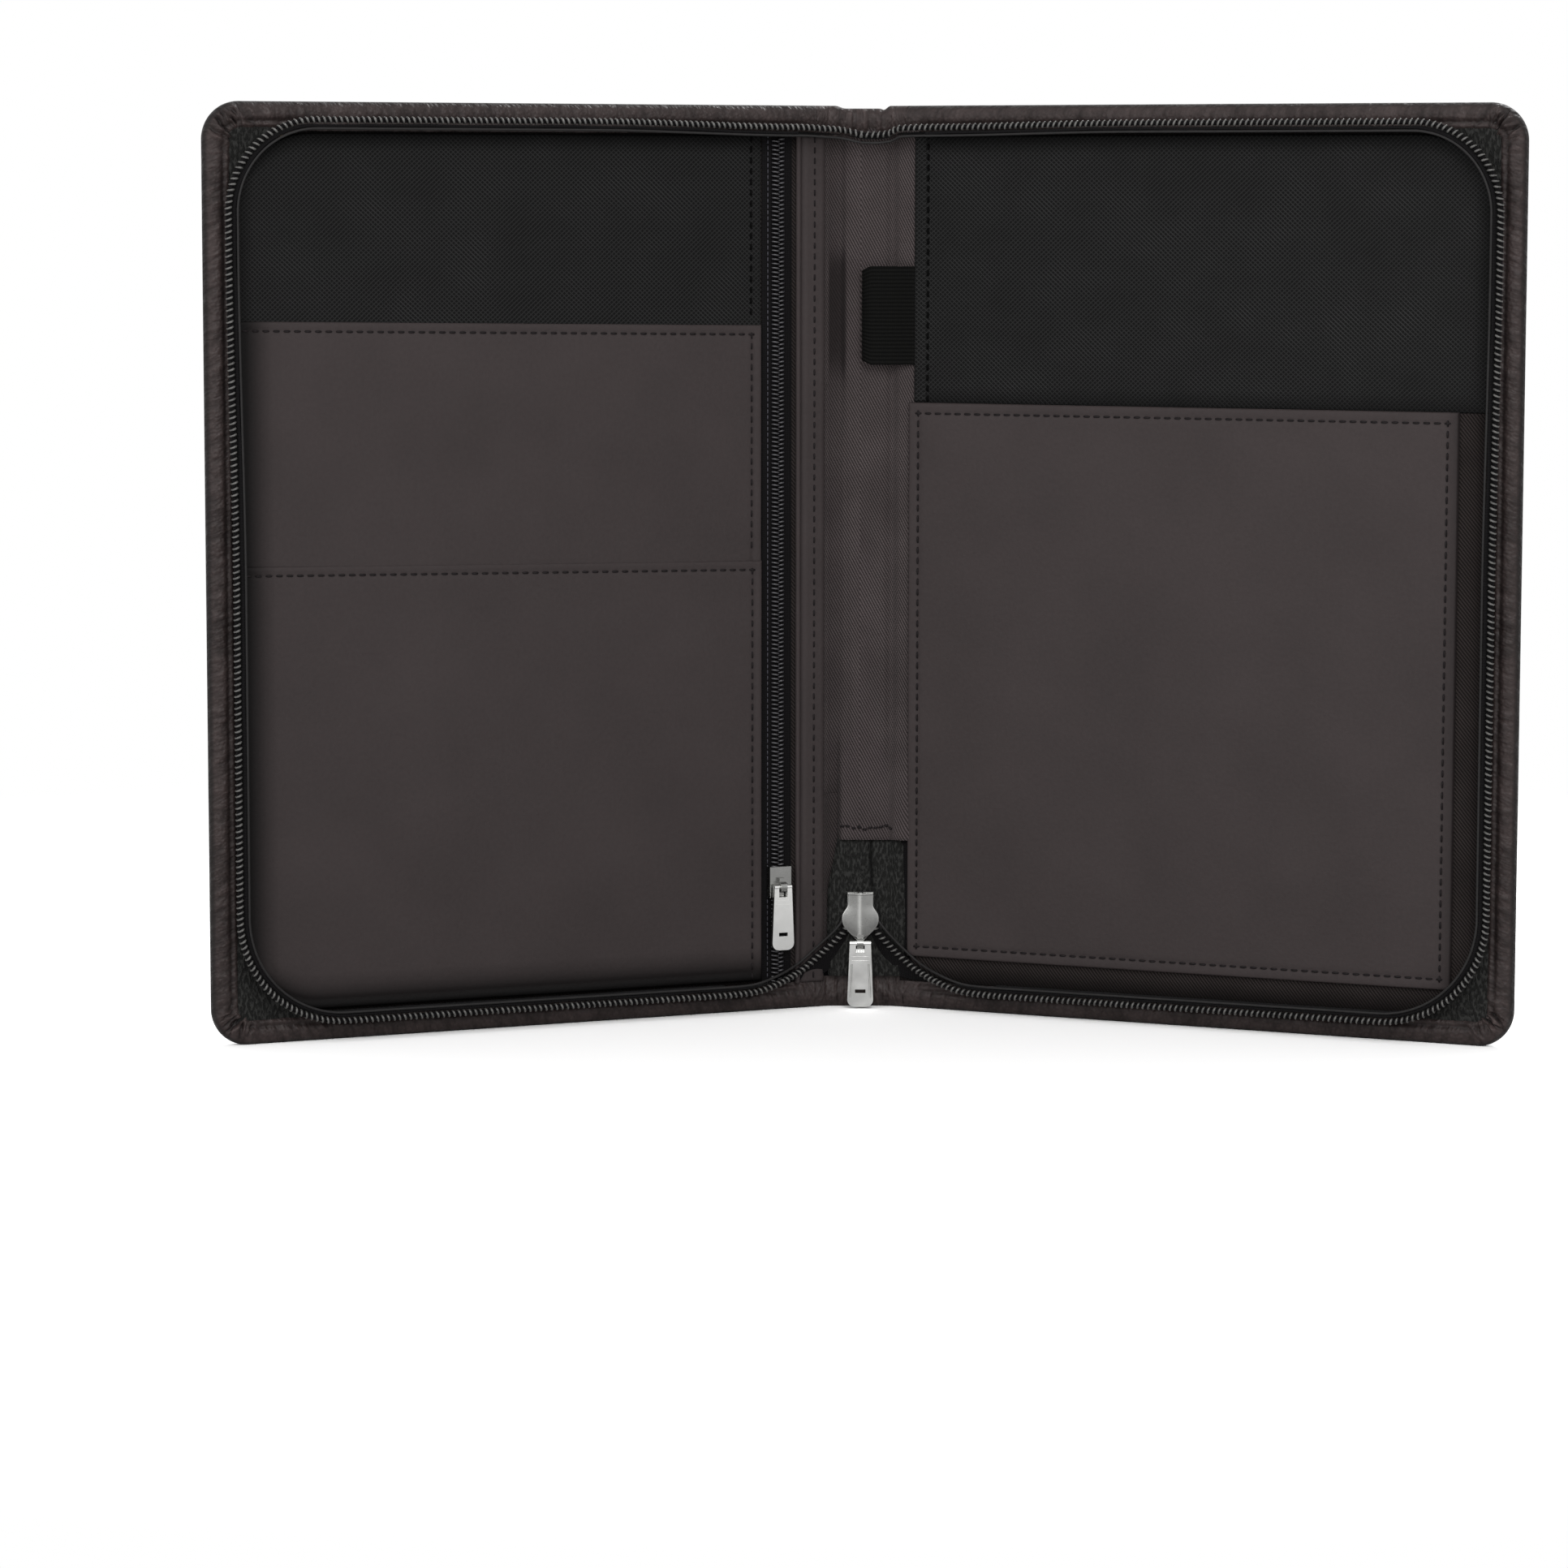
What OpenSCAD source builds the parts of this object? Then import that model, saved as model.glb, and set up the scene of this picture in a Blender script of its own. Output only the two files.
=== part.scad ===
// Zip-round car document holder, standing open in a V on its bottom edges.
// Millimetres. X runs across, Y away from the viewer, Z up. The spine's foot is at the origin.

/* [Overall size] */
// Height of the holder
height = 250; // [240:1:270]
// Hinge line to fore-edge of each cover
cover_w = 179; // [170:1:190]
// Distance between the two hinge lines
spine_w = 20; // [20:0.5:24]
// How far each cover is turned from lying flat, in degrees
rest_angle = 23.7; // [10:0.1:30]
// Radius of the covers' fore-edge corners
corner_r = 10; // [6:0.5:12]

/* [Cover layers] */
// Leather outer skin
skin_t = 1; // [0.8:0.1:1.2]
// Foam padding under the skin
foam_t = 1.2; // [0.8:0.1:1.4]
// Stiff board
board_t = 1; // [0.8:0.1:1.2]
// Twill lining
lining_t = 0.4; // [0.3:0.1:0.5]
// Black inner panel
panel_t = 0.5; // [0.4:0.1:0.6]
// Leatherette pocket front
pocket_t = 0.5; // [0.4:0.1:0.6]
// Thickness of the leather turned in along the edges
hem_t = 1; // [0.8:0.1:1.2]

/* [Main zip] */
// Inset of the zip tape from the cover's edge
zip_inset = 7; // [6:0.5:8]
// Thickness of the zip tape
tape_t = 0.7; // [0.5:0.1:0.9]
// Radius of the zip's corners
zip_r = 22; // [16:1:26]
// Width of the zip's coil across the tape
coil_w = 2.3; // [1.8:0.1:2.6]
// Height of the coil along the tape's edge
coil_h = 2.4; // [2:0.1:3]
// Radius of the bend where the zip lifts away from the bottom edge
rise_r = 50; // [46:1:52]
// Sweep of that bend in degrees
rise_angle = 24; // [18:1:24]
// Where the bend starts, from the hinge line
rise_u = 32; // [32:1:40]

/* [Pockets] */
// Width of the pocket seams
seam_w = 3; // [2:0.5:4]
// Top edge of the right pocket
right_pocket_top = 169; // [150:1:180]
// Bottom edge of the right pocket
right_pocket_foot = 14.6; // [12:0.2:18]
// Outer edge of the right pocket, from the cover's fore-edge
right_pocket_gap = 16.8; // [14:0.2:28]
// Top edge of the upper left pocket
upper_pocket_top = 191.6; // [180:0.2:200]
// Top edge of the lower left pocket
lower_pocket_top = 127; // [120:0.5:140]
// Slant of the left pockets' top edges, in degrees
pocket_slant = 0.9; // [0:0.1:1.5]
// Inner edge of the left pockets, from the hinge line
left_pocket_start = 20.5; // [20.5:0.1:22]
// Centre line of the left pocket's own zip, from the hinge line
pocket_zip_u = 15.7; // [15.5:0.1:15.8]

/* [Pen loop] */
// Height of the elastic band
loop_h = 27.6; // [20:0.2:34]
// Bottom of the elastic band
loop_z = 179.2; // [172:0.2:190]
// Outer radius of the loop's rounded ends
loop_r = 3.6; // [3.5:0.05:3.6]
// Thickness of the elastic band
loop_t = 0.75; // [0.6:0.05:0.8]
// Distance between the centres of the loop's two ends
loop_len = 7.5; // [6:0.5:7.5]

/* [Sliders] */
// Sideways place of the main slider
slider_x = 0.3; // [0:0.1:0.3]
// Width of the main slider
slider_w = 10.2; // [9:0.2:10.2]
// Height of the main slider's top edge
slider_top = 32.7; // [32:0.1:33]
// Length of the main slider's body
slider_len = 13.5; // [13:0.1:14]
// Length of the main pull tab below its pin
pull_len = 17.8; // [14:0.1:17.8]
// Width of the main pull tab
pull_w = 5.9; // [5:0.1:6.5]
// Width that a pull tab gains from its pin to its end
pull_flare = 1.3; // [0:0.1:1.5]
// Thickness of the pull tabs
pull_t = 1.2; // [1:0.1:1.2]
// Radius of the pull tabs' pins
pin_r = 0.7; // [0.6:0.05:0.75]
// Foot of the pocket slider
pocket_slider_z = 32; // [32:0.5:36]

/* [Hidden] */
$fn = 64;
spine_t = 1.6;
hinge_gap = 0.3;
inner_start = 2.4;
spine_half = spine_w / 2;
spine_in = spine_w / 2 - 1;
spine_hem_w = 4.5;
spine_hem_y = 2;
lining_y = spine_t / 2 + 0.6;
h_skin = skin_t / 2;
h_foam = h_skin + foam_t;
h_board = h_foam + board_t;
h_lining = h_board + lining_t;
h_panel = h_lining + panel_t;
h_pocket = h_panel + pocket_t;
h_lower = h_pocket + pocket_t;
h_right = h_panel + 0.6;
h_hem = h_board + hem_t;
zip_top_h = spine_half - 0.3;
coil_low_h = zip_top_h - coil_h;
rise_low_h = 5;
rise_c = zip_inset + tape_t / 2 + rise_r;
zip_start = 6;
hem_r = 3;
patch_t = 0.5;
panel_inset = zip_inset + 1;
panel_r = zip_r - 1;
pocket_inset = zip_inset + 1.6;
pocket_r = zip_r - 1.6;
left_panel_foot = 178;
upper_pocket_foot = 112;
right_panel_start = 7.3;
right_panel_foot = right_pocket_top - 2.5;
right_pocket_start = 5.5;
right_pocket_end = cover_w - right_pocket_gap;
edge_strip_w = 3.2;
facing_end = 9.3;
welt_w = 2;
welt_u = facing_end + welt_w / 2;
pocket_tape_half = 4.3;
tape_split = 0.15;
chain_half = 1.7;
chain_h = 1.2;
strip_foot = 8.2;
strip_top = height - 8.2;
loop_x = 1.9;
loop_y = -5.4;
gap_x0 = -5;
gap_x1 = 5.4;
tongue_y0 = -4.6;
tongue_y1 = -3.8;
tongue_foot = 11;
tongue_top = 50.5;
tongue_slot_half = 1.3;
tongue_slot_top = 35;
flap_foot = 46.8;
flap_knee = 51;
flap_root = 76;
flap_t = 0.6;
cross_z = height - 10.4;
cross_y = -5.6;
slider_gap = 0.3;
plate_t = 1.25;
slider_foot = slider_top - slider_len;
slider_half = slider_w / 2;
slider_front = tongue_y0 - slider_gap;
slider_back = tongue_y1 + slider_gap;
neck_half = 1;
ridge_r = 0.8;
lug_half = 0.9;
lug_r = 1.5;
lug_y = -7.2;
lug_z = slider_foot - 0.8;
hole_r = pin_r + 0.06;
window_half = lug_half + 0.35;
window_len = 2.8;
pocket_slider_len = 8.5;
pocket_slider_half = 3.2;
pocket_flange = 1;
pocket_lug_h = 7.4;
pocket_lug_z = pocket_slider_z + 3;
pocket_pull_w = 5.2;
pull_corner = 2;
slot_up = 3.9;
pocket_pull_len = 17.6;
leather = [0.20, 0.18, 0.19];
brown = [0.25, 0.225, 0.225];
black = [0.14, 0.14, 0.14];
twill = [0.27, 0.245, 0.245];
woven = [0.11, 0.10, 0.105];
coil_grey = [0.45, 0.45, 0.44];
nickel = [0.72, 0.72, 0.72];
padding = [0.55, 0.55, 0.52];
card = [0.55, 0.47, 0.36];

// A cover is drawn with x from the hinge line to the fore-edge, z up and -y towards the inside.
module on_right() {
  translate([spine_half, 0, 0]) rotate([0, 0, -rest_angle]) children();
}

module on_left() {
  mirror([1, 0, 0]) on_right() children();
}

// A flat layer of a cover between two depths, counted inwards from the hinge line.
module layer(low, high) {
  rotate([90, 0, 0]) translate([0, 0, low]) linear_extrude(height = high - low) children();
}

// Outline of a cover, with round corners at the fore-edge only.
module leaf(start, inset, r) {
  end = cover_w - inset;
  tall = height - 2 * inset;
  translate([start, inset]) square([end - r - start, tall]);
  translate([start, inset + r]) square([end - start, tall - 2 * r]);
  translate([end - r, inset + r]) circle(r);
  translate([end - r, height - inset - r]) circle(r);
}

// A line that follows the zip round the cover, between two insets.
module zip_line(near, far) {
  difference() {
    leaf(zip_start, near, zip_r + zip_inset - near);
    leaf(zip_start - 1, far, zip_r + zip_inset - far);
    translate([0, 0]) square([rise_u, height / 2]);
  }
}

// The zip's end, bent up towards the slider.
module zip_rise(near, far) {
  reach = rise_r * 1.4;
  intersection() {
    translate([rise_u, rise_c]) difference() {
      circle(rise_c - near);
      circle(rise_c - far);
    }
    polygon([
      [rise_u, rise_c],
      [rise_u - reach * sin(rise_angle), rise_c - reach * cos(rise_angle)],
      [rise_u, rise_c - reach]
    ]);
  }
}

module skin() {
  color(leather) {
    layer(-h_skin, h_skin) leaf(spine_t / 2 + hinge_gap, 0, corner_r);
    layer(h_skin, h_board) difference() {
      leaf(inner_start, 0, corner_r);
      leaf(inner_start - 1, skin_t, corner_r - skin_t);
    }
  }
}

module foam() {
  color(padding) layer(h_skin, h_foam) leaf(inner_start, skin_t, corner_r - skin_t);
}

module board() {
  color(card) layer(h_foam, h_board) leaf(inner_start, skin_t, corner_r - skin_t);
}

module hem() {
  color(leather) layer(h_board, h_hem) difference() {
    leaf(inner_start, 0, corner_r);
    leaf(inner_start - 1, zip_inset, hem_r);
  }
}

module lining() {
  color(twill) layer(h_board, h_lining) leaf(inner_start, zip_inset + tape_t, zip_r - tape_t);
}

module zip_tape() {
  color(woven) {
    layer(h_board, zip_top_h) zip_line(zip_inset, zip_inset + tape_t);
    layer(rise_low_h, zip_top_h) zip_rise(zip_inset, zip_inset + tape_t);
    layer(h_board, h_board + patch_t) difference() {
      leaf(cover_w / 2, zip_inset, hem_r);
      leaf(cover_w / 2 - 1, zip_inset, zip_r);
    }
  }
}

module zip_coil() {
  color(coil_grey) layer(coil_low_h, zip_top_h) {
    zip_line(zip_inset - coil_w, zip_inset);
    zip_rise(zip_inset - coil_w, zip_inset);
  }
}

// Everything below a line that slants up towards the fore-edge.
module below(start, edge, slant) {
  rise = (cover_w - start) * tan(slant);
  polygon([[start, 0], [cover_w, 0], [cover_w, edge + rise / 2], [start, edge - rise / 2]]);
}

module spine_skin() {
  color(leather) linear_extrude(height = height) {
    square([spine_w, spine_t], center = true);
    translate([-spine_half, 0]) circle(spine_t / 2);
    translate([spine_half, 0]) circle(spine_t / 2);
  }
}

module spine_lining() {
  color(twill) translate([-spine_in, -lining_y, spine_hem_w])
    cube([2 * spine_in, lining_y - spine_t / 2, height - 2 * spine_hem_w]);
}

module spine_hem(foot) {
  color(leather) translate([-spine_in, -spine_hem_y, foot])
    cube([2 * spine_in, spine_hem_y - spine_t / 2, spine_hem_w]);
}

module spine_top_hem() {
  spine_hem(height - spine_hem_w);
}

module spine_bottom_hem() {
  spine_hem(0);
}

module lining_flap() {
  color(twill) translate([gap_x0, 0, 0]) rotate([90, 0, 90]) linear_extrude(height = gap_x1 - gap_x0)
    polygon([
      [-lining_y, flap_root + 4],
      [-lining_y, flap_root],
      [tongue_y0, flap_knee],
      [tongue_y0, flap_foot],
      [tongue_y0 - flap_t, flap_foot],
      [tongue_y0 - flap_t, flap_knee]
    ]);
}

module zip_tongue() {
  color(woven) difference() {
    translate([gap_x0, tongue_y0, tongue_foot])
      cube([gap_x1 - gap_x0, tongue_y1 - tongue_y0, tongue_top - tongue_foot]);
    translate([slider_x - tongue_slot_half, tongue_y0 - 1, tongue_foot - 1])
      cube([2 * tongue_slot_half, tongue_y1 - tongue_y0 + 2, tongue_slot_top - tongue_foot + 1]);
  }
}

module spine_zip_tape() {
  color(woven) translate([gap_x0, cross_y, cross_z]) cube([gap_x1 - gap_x0, -lining_y - cross_y, tape_t]);
}

module spine_zip_coil() {
  color(coil_grey) translate([gap_x0, cross_y, cross_z + tape_t]) cube([gap_x1 - gap_x0, coil_h, coil_w]);
}

module left_skin() {
  on_left() skin();
}

module left_foam() {
  on_left() foam();
}

module left_board() {
  on_left() board();
}

module left_hem() {
  on_left() hem();
}

module left_lining() {
  on_left() lining();
}

module left_zip_tape() {
  on_left() zip_tape();
}

module left_zip_coil() {
  on_left() zip_coil();
}

module left_panel() {
  color(black) on_left() layer(h_lining, h_panel) intersection() {
    leaf(left_pocket_start, panel_inset, panel_r);
    translate([0, left_panel_foot]) square([cover_w, height]);
  }
}

module left_upper_pocket() {
  color(brown) on_left() {
    layer(h_panel, h_pocket) intersection() {
      leaf(left_pocket_start, pocket_inset, pocket_r);
      below(left_pocket_start, upper_pocket_top, pocket_slant);
      translate([0, upper_pocket_foot]) square([cover_w, height]);
    }
    layer(h_lining, h_panel) intersection() {
      difference() {
        leaf(left_pocket_start, pocket_inset, pocket_r);
        leaf(left_pocket_start + seam_w, pocket_inset + seam_w, pocket_r - seam_w);
      }
      translate([0, upper_pocket_foot]) square([cover_w, left_panel_foot - upper_pocket_foot]);
    }
  }
}

module left_lower_pocket() {
  color(brown) on_left() {
    layer(h_pocket, h_lower) intersection() {
      leaf(left_pocket_start, pocket_inset, pocket_r);
      below(left_pocket_start, lower_pocket_top, pocket_slant);
    }
    layer(h_lining, h_pocket) intersection() {
      difference() {
        leaf(left_pocket_start, pocket_inset, pocket_r);
        leaf(left_pocket_start + seam_w, pocket_inset + seam_w, pocket_r - seam_w);
      }
      square([cover_w, upper_pocket_foot]);
    }
  }
}

module left_facing() {
  color(brown) on_left() layer(h_lining, h_panel + 0.2)
    translate([inner_start, strip_foot]) square([facing_end - inner_start, strip_top - strip_foot]);
}

module left_welt() {
  color(brown) on_left() {
    layer(h_lining, h_panel) translate([facing_end, strip_foot]) square([welt_w, strip_top - strip_foot]);
    intersection() {
      translate([welt_u, -h_panel, strip_foot]) cylinder(r = welt_w / 2, h = strip_top - strip_foot);
      layer(h_lining, h_panel + welt_w) translate([facing_end, 0]) square([welt_w, height]);
    }
  }
}

module pocket_tape_inner() {
  color(woven) on_left() layer(h_lining, h_panel) translate([pocket_zip_u - pocket_tape_half, strip_foot])
    square([pocket_tape_half - tape_split, strip_top - strip_foot]);
}

module pocket_tape_outer() {
  color(woven) on_left() layer(h_lining, h_panel) translate([pocket_zip_u + tape_split, strip_foot])
    square([pocket_tape_half - tape_split, strip_top - strip_foot]);
}

module pocket_chain() {
  color(coil_grey) on_left() layer(h_panel, h_panel + chain_h) translate([pocket_zip_u - chain_half, strip_foot])
    square([2 * chain_half, strip_top - strip_foot]);
}

module right_skin() {
  on_right() skin();
}

module right_foam() {
  on_right() foam();
}

module right_board() {
  on_right() board();
}

module right_hem() {
  on_right() hem();
}

module right_lining() {
  on_right() lining();
}

module right_zip_tape() {
  on_right() zip_tape();
}

module right_zip_coil() {
  on_right() zip_coil();
}

module right_panel() {
  color(black) on_right() layer(h_lining, h_panel) intersection() {
    leaf(right_panel_start, panel_inset, panel_r);
    translate([0, right_panel_foot]) square([cover_w, height]);
  }
}

module right_pocket() {
  wide = right_pocket_end - right_pocket_start;
  color(brown) on_right() {
    layer(h_panel, h_right) translate([right_pocket_start, right_pocket_foot])
      square([wide, right_pocket_top - right_pocket_foot]);
    layer(h_lining, h_panel) difference() {
      translate([right_pocket_start, right_pocket_foot]) square([wide, right_panel_foot - right_pocket_foot]);
      translate([right_pocket_start + seam_w, right_pocket_foot + seam_w])
        square([wide - 2 * seam_w, height]);
    }
  }
}

module right_edge_strip() {
  color(black) on_right() layer(h_panel, h_pocket) translate([right_panel_start, right_pocket_top + 0.3])
    square([edge_strip_w, strip_top - right_pocket_top - 0.3]);
}

module band(r) {
  translate([0, -r]) square([loop_len, 2 * r]);
  circle(r);
  translate([loop_len, 0]) circle(r);
}

module pen_loop() {
  color(black) translate([loop_x, loop_y, loop_z]) rotate([0, 0, -rest_angle]) linear_extrude(height = loop_h)
    difference() {
      band(loop_r);
      band(loop_r - loop_t);
    }
}

module shield() {
  shoulder = slider_half * 0.7;
  polygon([
    [-shoulder, slider_top],
    [-shoulder, slider_top - 4.2],
    [-slider_half * 0.86, slider_top - 5.8],
    [-slider_half, slider_top - 7.6],
    [-slider_half * 0.92, slider_top - 9.2],
    [-slider_half * 0.66, slider_top - 11],
    [-neck_half, slider_foot],
    [neck_half, slider_foot],
    [slider_half * 0.66, slider_top - 11],
    [slider_half * 0.92, slider_top - 9.2],
    [slider_half, slider_top - 7.6],
    [slider_half * 0.86, slider_top - 5.8],
    [shoulder, slider_top - 4.2],
    [shoulder, slider_top]
  ]);
}

// A plate standing across Y, from its front face back.
module plate(front, thick) {
  translate([0, front + thick, 0]) rotate([90, 0, 0]) linear_extrude(height = thick) children();
}

module main_slider() {
  color(nickel) translate([slider_x, 0, 0]) difference() {
    union() {
      plate(slider_front - plate_t, plate_t) shield();
      plate(slider_back, plate_t) shield();
      translate([-neck_half, slider_front - 0.5, slider_foot + 0.6])
        cube([2 * neck_half, slider_back - slider_front + 1, 3.6]);
      intersection() {
        translate([0, slider_front - plate_t, slider_foot]) cylinder(r = ridge_r, h = slider_len);
        plate(slider_front - plate_t - 1, plate_t + 1) shield();
      }
      translate([-lug_half, lug_y, lug_z]) rotate([0, 90, 0]) cylinder(r = lug_r, h = 2 * lug_half);
      translate([-lug_half, lug_y, lug_z]) cube([2 * lug_half, slider_front - lug_y - 0.3, lug_r + 1]);
    }
    translate([-lug_half - 1, lug_y, lug_z]) rotate([0, 90, 0]) cylinder(r = hole_r, h = 2 * lug_half + 2);
  }
}

// A pull tab hanging from its pin, which lies along x at the origin. The tab's face is towards -y.
module pull_tab(wide, long) {
  end_half = (wide + pull_flare) / 2;
  difference() {
    union() {
      plate(-pull_t / 2, pull_t) {
        polygon([
          [-wide / 2, 0],
          [-end_half, pull_corner - long],
          [end_half, pull_corner - long],
          [wide / 2, 0]
        ]);
        translate([pull_corner - end_half, -long]) square([2 * (end_half - pull_corner), pull_corner + 1]);
        for (side = [-1, 1]) translate([side * (end_half - pull_corner), pull_corner - long]) circle(pull_corner);
      }
      translate([-wide / 2, 0, 0]) rotate([0, 90, 0]) cylinder(r = pin_r, h = wide);
      translate([-wide / 2 + 0.6, -pull_t / 2 - 0.2, -window_len - 1.4]) cube([wide - 1.2, 0.4, 0.6]);
      translate([-wide / 2 + 0.6, -pull_t / 2 - 0.2, -window_len - 2.6]) cube([wide - 1.2, 0.4, 0.6]);
    }
    translate([-window_half, -2, -window_len]) cube([2 * window_half, 4, window_len + 2]);
    translate([-wide / 4, -2, slot_up - long]) cube([wide / 2, 4, 1]);
  }
  translate([-window_half - 0.1, 0, 0]) rotate([0, 90, 0]) cylinder(r = pin_r, h = 2 * window_half + 0.2);
}

module main_pull() {
  color(nickel) translate([slider_x, lug_y, lug_z]) pull_tab(pull_w, pull_len);
}

module pocket_slider() {
  low = h_panel + 0.3;
  under = h_panel + chain_h + 0.3;
  color(nickel) on_left() difference() {
    union() {
      layer(under, under + 1) translate([pocket_zip_u - pocket_slider_half, pocket_slider_z])
        square([2 * pocket_slider_half, pocket_slider_len]);
      layer(low, under) for (side = [-1, 1])
        translate([pocket_zip_u + side * (pocket_slider_half - pocket_flange / 2) - pocket_flange / 2, pocket_slider_z])
          square([pocket_flange, pocket_slider_len]);
      translate([pocket_zip_u - lug_half, -pocket_lug_h, pocket_lug_z]) rotate([0, 90, 0])
        cylinder(r = lug_r, h = 2 * lug_half);
      layer(under + 0.5, pocket_lug_h) translate([pocket_zip_u - lug_half, pocket_lug_z])
        square([2 * lug_half, lug_r + 1]);
    }
    translate([pocket_zip_u - lug_half - 1, -pocket_lug_h, pocket_lug_z]) rotate([0, 90, 0])
      cylinder(r = hole_r, h = 2 * lug_half + 2);
  }
}

module pocket_pull() {
  color(nickel) on_left() translate([pocket_zip_u, -pocket_lug_h, pocket_lug_z])
    pull_tab(pocket_pull_w, pocket_pull_len);
}

spine_skin();
spine_lining();
spine_top_hem();
spine_bottom_hem();
lining_flap();
zip_tongue();
spine_zip_tape();
spine_zip_coil();
left_skin();
left_foam();
left_board();
left_hem();
left_lining();
left_zip_tape();
left_zip_coil();
left_panel();
left_upper_pocket();
left_lower_pocket();
left_facing();
left_welt();
pocket_tape_inner();
pocket_tape_outer();
pocket_chain();
right_skin();
right_foam();
right_board();
right_hem();
right_lining();
right_zip_tape();
right_zip_coil();
right_panel();
right_pocket();
right_edge_strip();
pen_loop();
main_slider();
main_pull();
pocket_slider();
pocket_pull();
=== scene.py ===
import math

import bpy
import numpy as np
from mathutils import Matrix


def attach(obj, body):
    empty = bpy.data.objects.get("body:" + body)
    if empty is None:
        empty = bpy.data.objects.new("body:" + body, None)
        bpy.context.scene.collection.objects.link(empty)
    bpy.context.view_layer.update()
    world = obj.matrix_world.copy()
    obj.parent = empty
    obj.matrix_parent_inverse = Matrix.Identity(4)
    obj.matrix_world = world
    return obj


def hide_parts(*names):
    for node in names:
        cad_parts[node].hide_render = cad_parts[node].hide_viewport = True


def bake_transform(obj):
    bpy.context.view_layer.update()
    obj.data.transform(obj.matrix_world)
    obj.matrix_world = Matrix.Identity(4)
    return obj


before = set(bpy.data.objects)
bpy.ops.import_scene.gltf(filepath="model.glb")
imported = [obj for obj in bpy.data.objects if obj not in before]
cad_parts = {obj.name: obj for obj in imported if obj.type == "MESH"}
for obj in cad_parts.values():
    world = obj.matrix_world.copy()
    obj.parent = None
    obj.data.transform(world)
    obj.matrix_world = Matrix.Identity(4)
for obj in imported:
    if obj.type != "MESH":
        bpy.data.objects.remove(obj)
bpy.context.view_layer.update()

# Driving dimensions in millimetres. On a cover, u runs from the hinge line outwards, v up and h inwards.
# Between the hinge lines the same u goes on across the spine, down to -10 at the spine's middle.
MM = 0.001
HEIGHT = 250.0
COVER_W = 179.0
SPINE_HALF = 10.0
REST = math.radians(23.7)
CORNER_R = 10.0
ZIP_INSET = 7.0
ZIP_R = 22.0
BEND_START = -2.5
BEND_RUN = 5.0
LEFT, RIGHT = -1, 1
BODY = {LEFT: "left_cover", RIGHT: "right_cover"}
SIDE = {LEFT: "left", RIGHT: "right"}

# Heights of the layers above the hinge plane.
LINING_H = 3.1
PANEL_H = 3.6
UPPER_POCKET_H = 4.15
LOWER_POCKET_H = 4.7
RIGHT_POCKET_H = 4.35
WALL_TOP_H = 9.6
COIL_H = 8.5
SPINE_LINING_H = 1.45

# Outer padding and its seam.
SKIN_OUT = 0.6
PAD_CROWN = 2.0
PAD_RUN = 13.0
SEAM_INSET = 5.0
SEAM_DEPTH = 0.35
SEAM_R = CORNER_R - SEAM_INSET
COVER_START = 4.0

# Rows of thread: pitch, length and radius of each stitch.
OUTER_STITCH = (3.9, 2.9, 0.36)
LINING_STITCH = (1.6, 1.25, 0.34)
POCKET_STITCH = (2.9, 2.0, 0.29)
PANEL_STITCH = (2.9, 2.0, 0.36)
TAPE_STITCH = (1.6, 1.3, 0.16)

# Names of the numbers that meshes keep for their materials: painted light and shade, and painted highlights
# on metal.
PAINTED_LIGHT = "painted_light"
PAINTED_HIGHLIGHT = "painted_highlight"


# Small shape helpers.

def smooth(x):
    x = np.clip(x, 0.0, 1.0)
    return x * x * (3 - 2 * x)


def hump(x, centre, half):
    return np.exp(-(((x - centre) / half) ** 2))


def ripple(s, seed, longest):
    """Soft irregular waves along s, the same on every run."""
    waves = ((1.0, 0.5), (0.47, 0.3), (0.21, 0.2))
    total = 0
    for k, (share, size) in enumerate(waves):
        total = total + size * np.sin(s * 2 * math.pi / (longest * share) + seed * (k + 1.7))
    return total


def bend_table():
    """The line that the holder's section follows: distance from the spine's middle, and the place there."""
    q = np.linspace(0, COVER_W + SPINE_HALF + 5, 4000)
    angle = REST * smooth((q - SPINE_HALF - BEND_START) / BEND_RUN)
    mid = (angle[1:] + angle[:-1]) / 2
    step = q[1] - q[0]
    x = np.concatenate([[0], np.cumsum(np.cos(mid)) * step])
    y = np.concatenate([[0], -np.cumsum(np.sin(mid)) * step])
    return q, x, y


BEND_Q, BEND_X, BEND_Y = bend_table()


def place(side, u, v, h):
    """Row-frame points, in millimetres, of places on a cover or on its half of the spine."""
    u, v, h = np.broadcast_arrays(*(np.asarray(a, float) for a in (u, v, h)))
    q = u + SPINE_HALF
    angle = REST * smooth((u - BEND_START) / BEND_RUN)
    x = np.interp(q, BEND_Q, BEND_X) - h * np.sin(angle)
    y = np.interp(q, BEND_Q, BEND_Y) - h * np.cos(angle)
    return np.stack([side * x, y, v], axis=-1)


def on_cover(side, spot, h):
    """Row-frame points of (u, v) places at a height."""
    return place(side, spot[..., 0], spot[..., 1], h)


def pairs(a, b):
    """Two sets of values, spread to one shape and put together as places."""
    return np.stack(np.broadcast_arrays(a, b), -1)


def forward(count):
    """The direction straight out of the spine, once for each point."""
    return np.tile([0.0, -1.0, 0.0], (count, 1))


def inward(side, count):
    """The direction from a cover towards the inside, once for each point."""
    return np.tile([-side * math.sin(REST), -math.cos(REST), 0.0], (count, 1))


def unit(vectors):
    return vectors / np.linalg.norm(vectors, axis=-1, keepdims=True)


def running(line):
    """How far along a line each of its points lies."""
    return np.concatenate([[0], np.cumsum(np.linalg.norm(np.diff(line, axis=0), axis=1))])


def resample(line, step):
    """The same line with its points about one step apart."""
    run = running(line)
    places = np.linspace(0, run[-1], max(2, int(round(run[-1] / step)) + 1))
    return np.stack([np.interp(places, run, line[:, k]) for k in range(line.shape[1])], axis=1)


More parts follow.
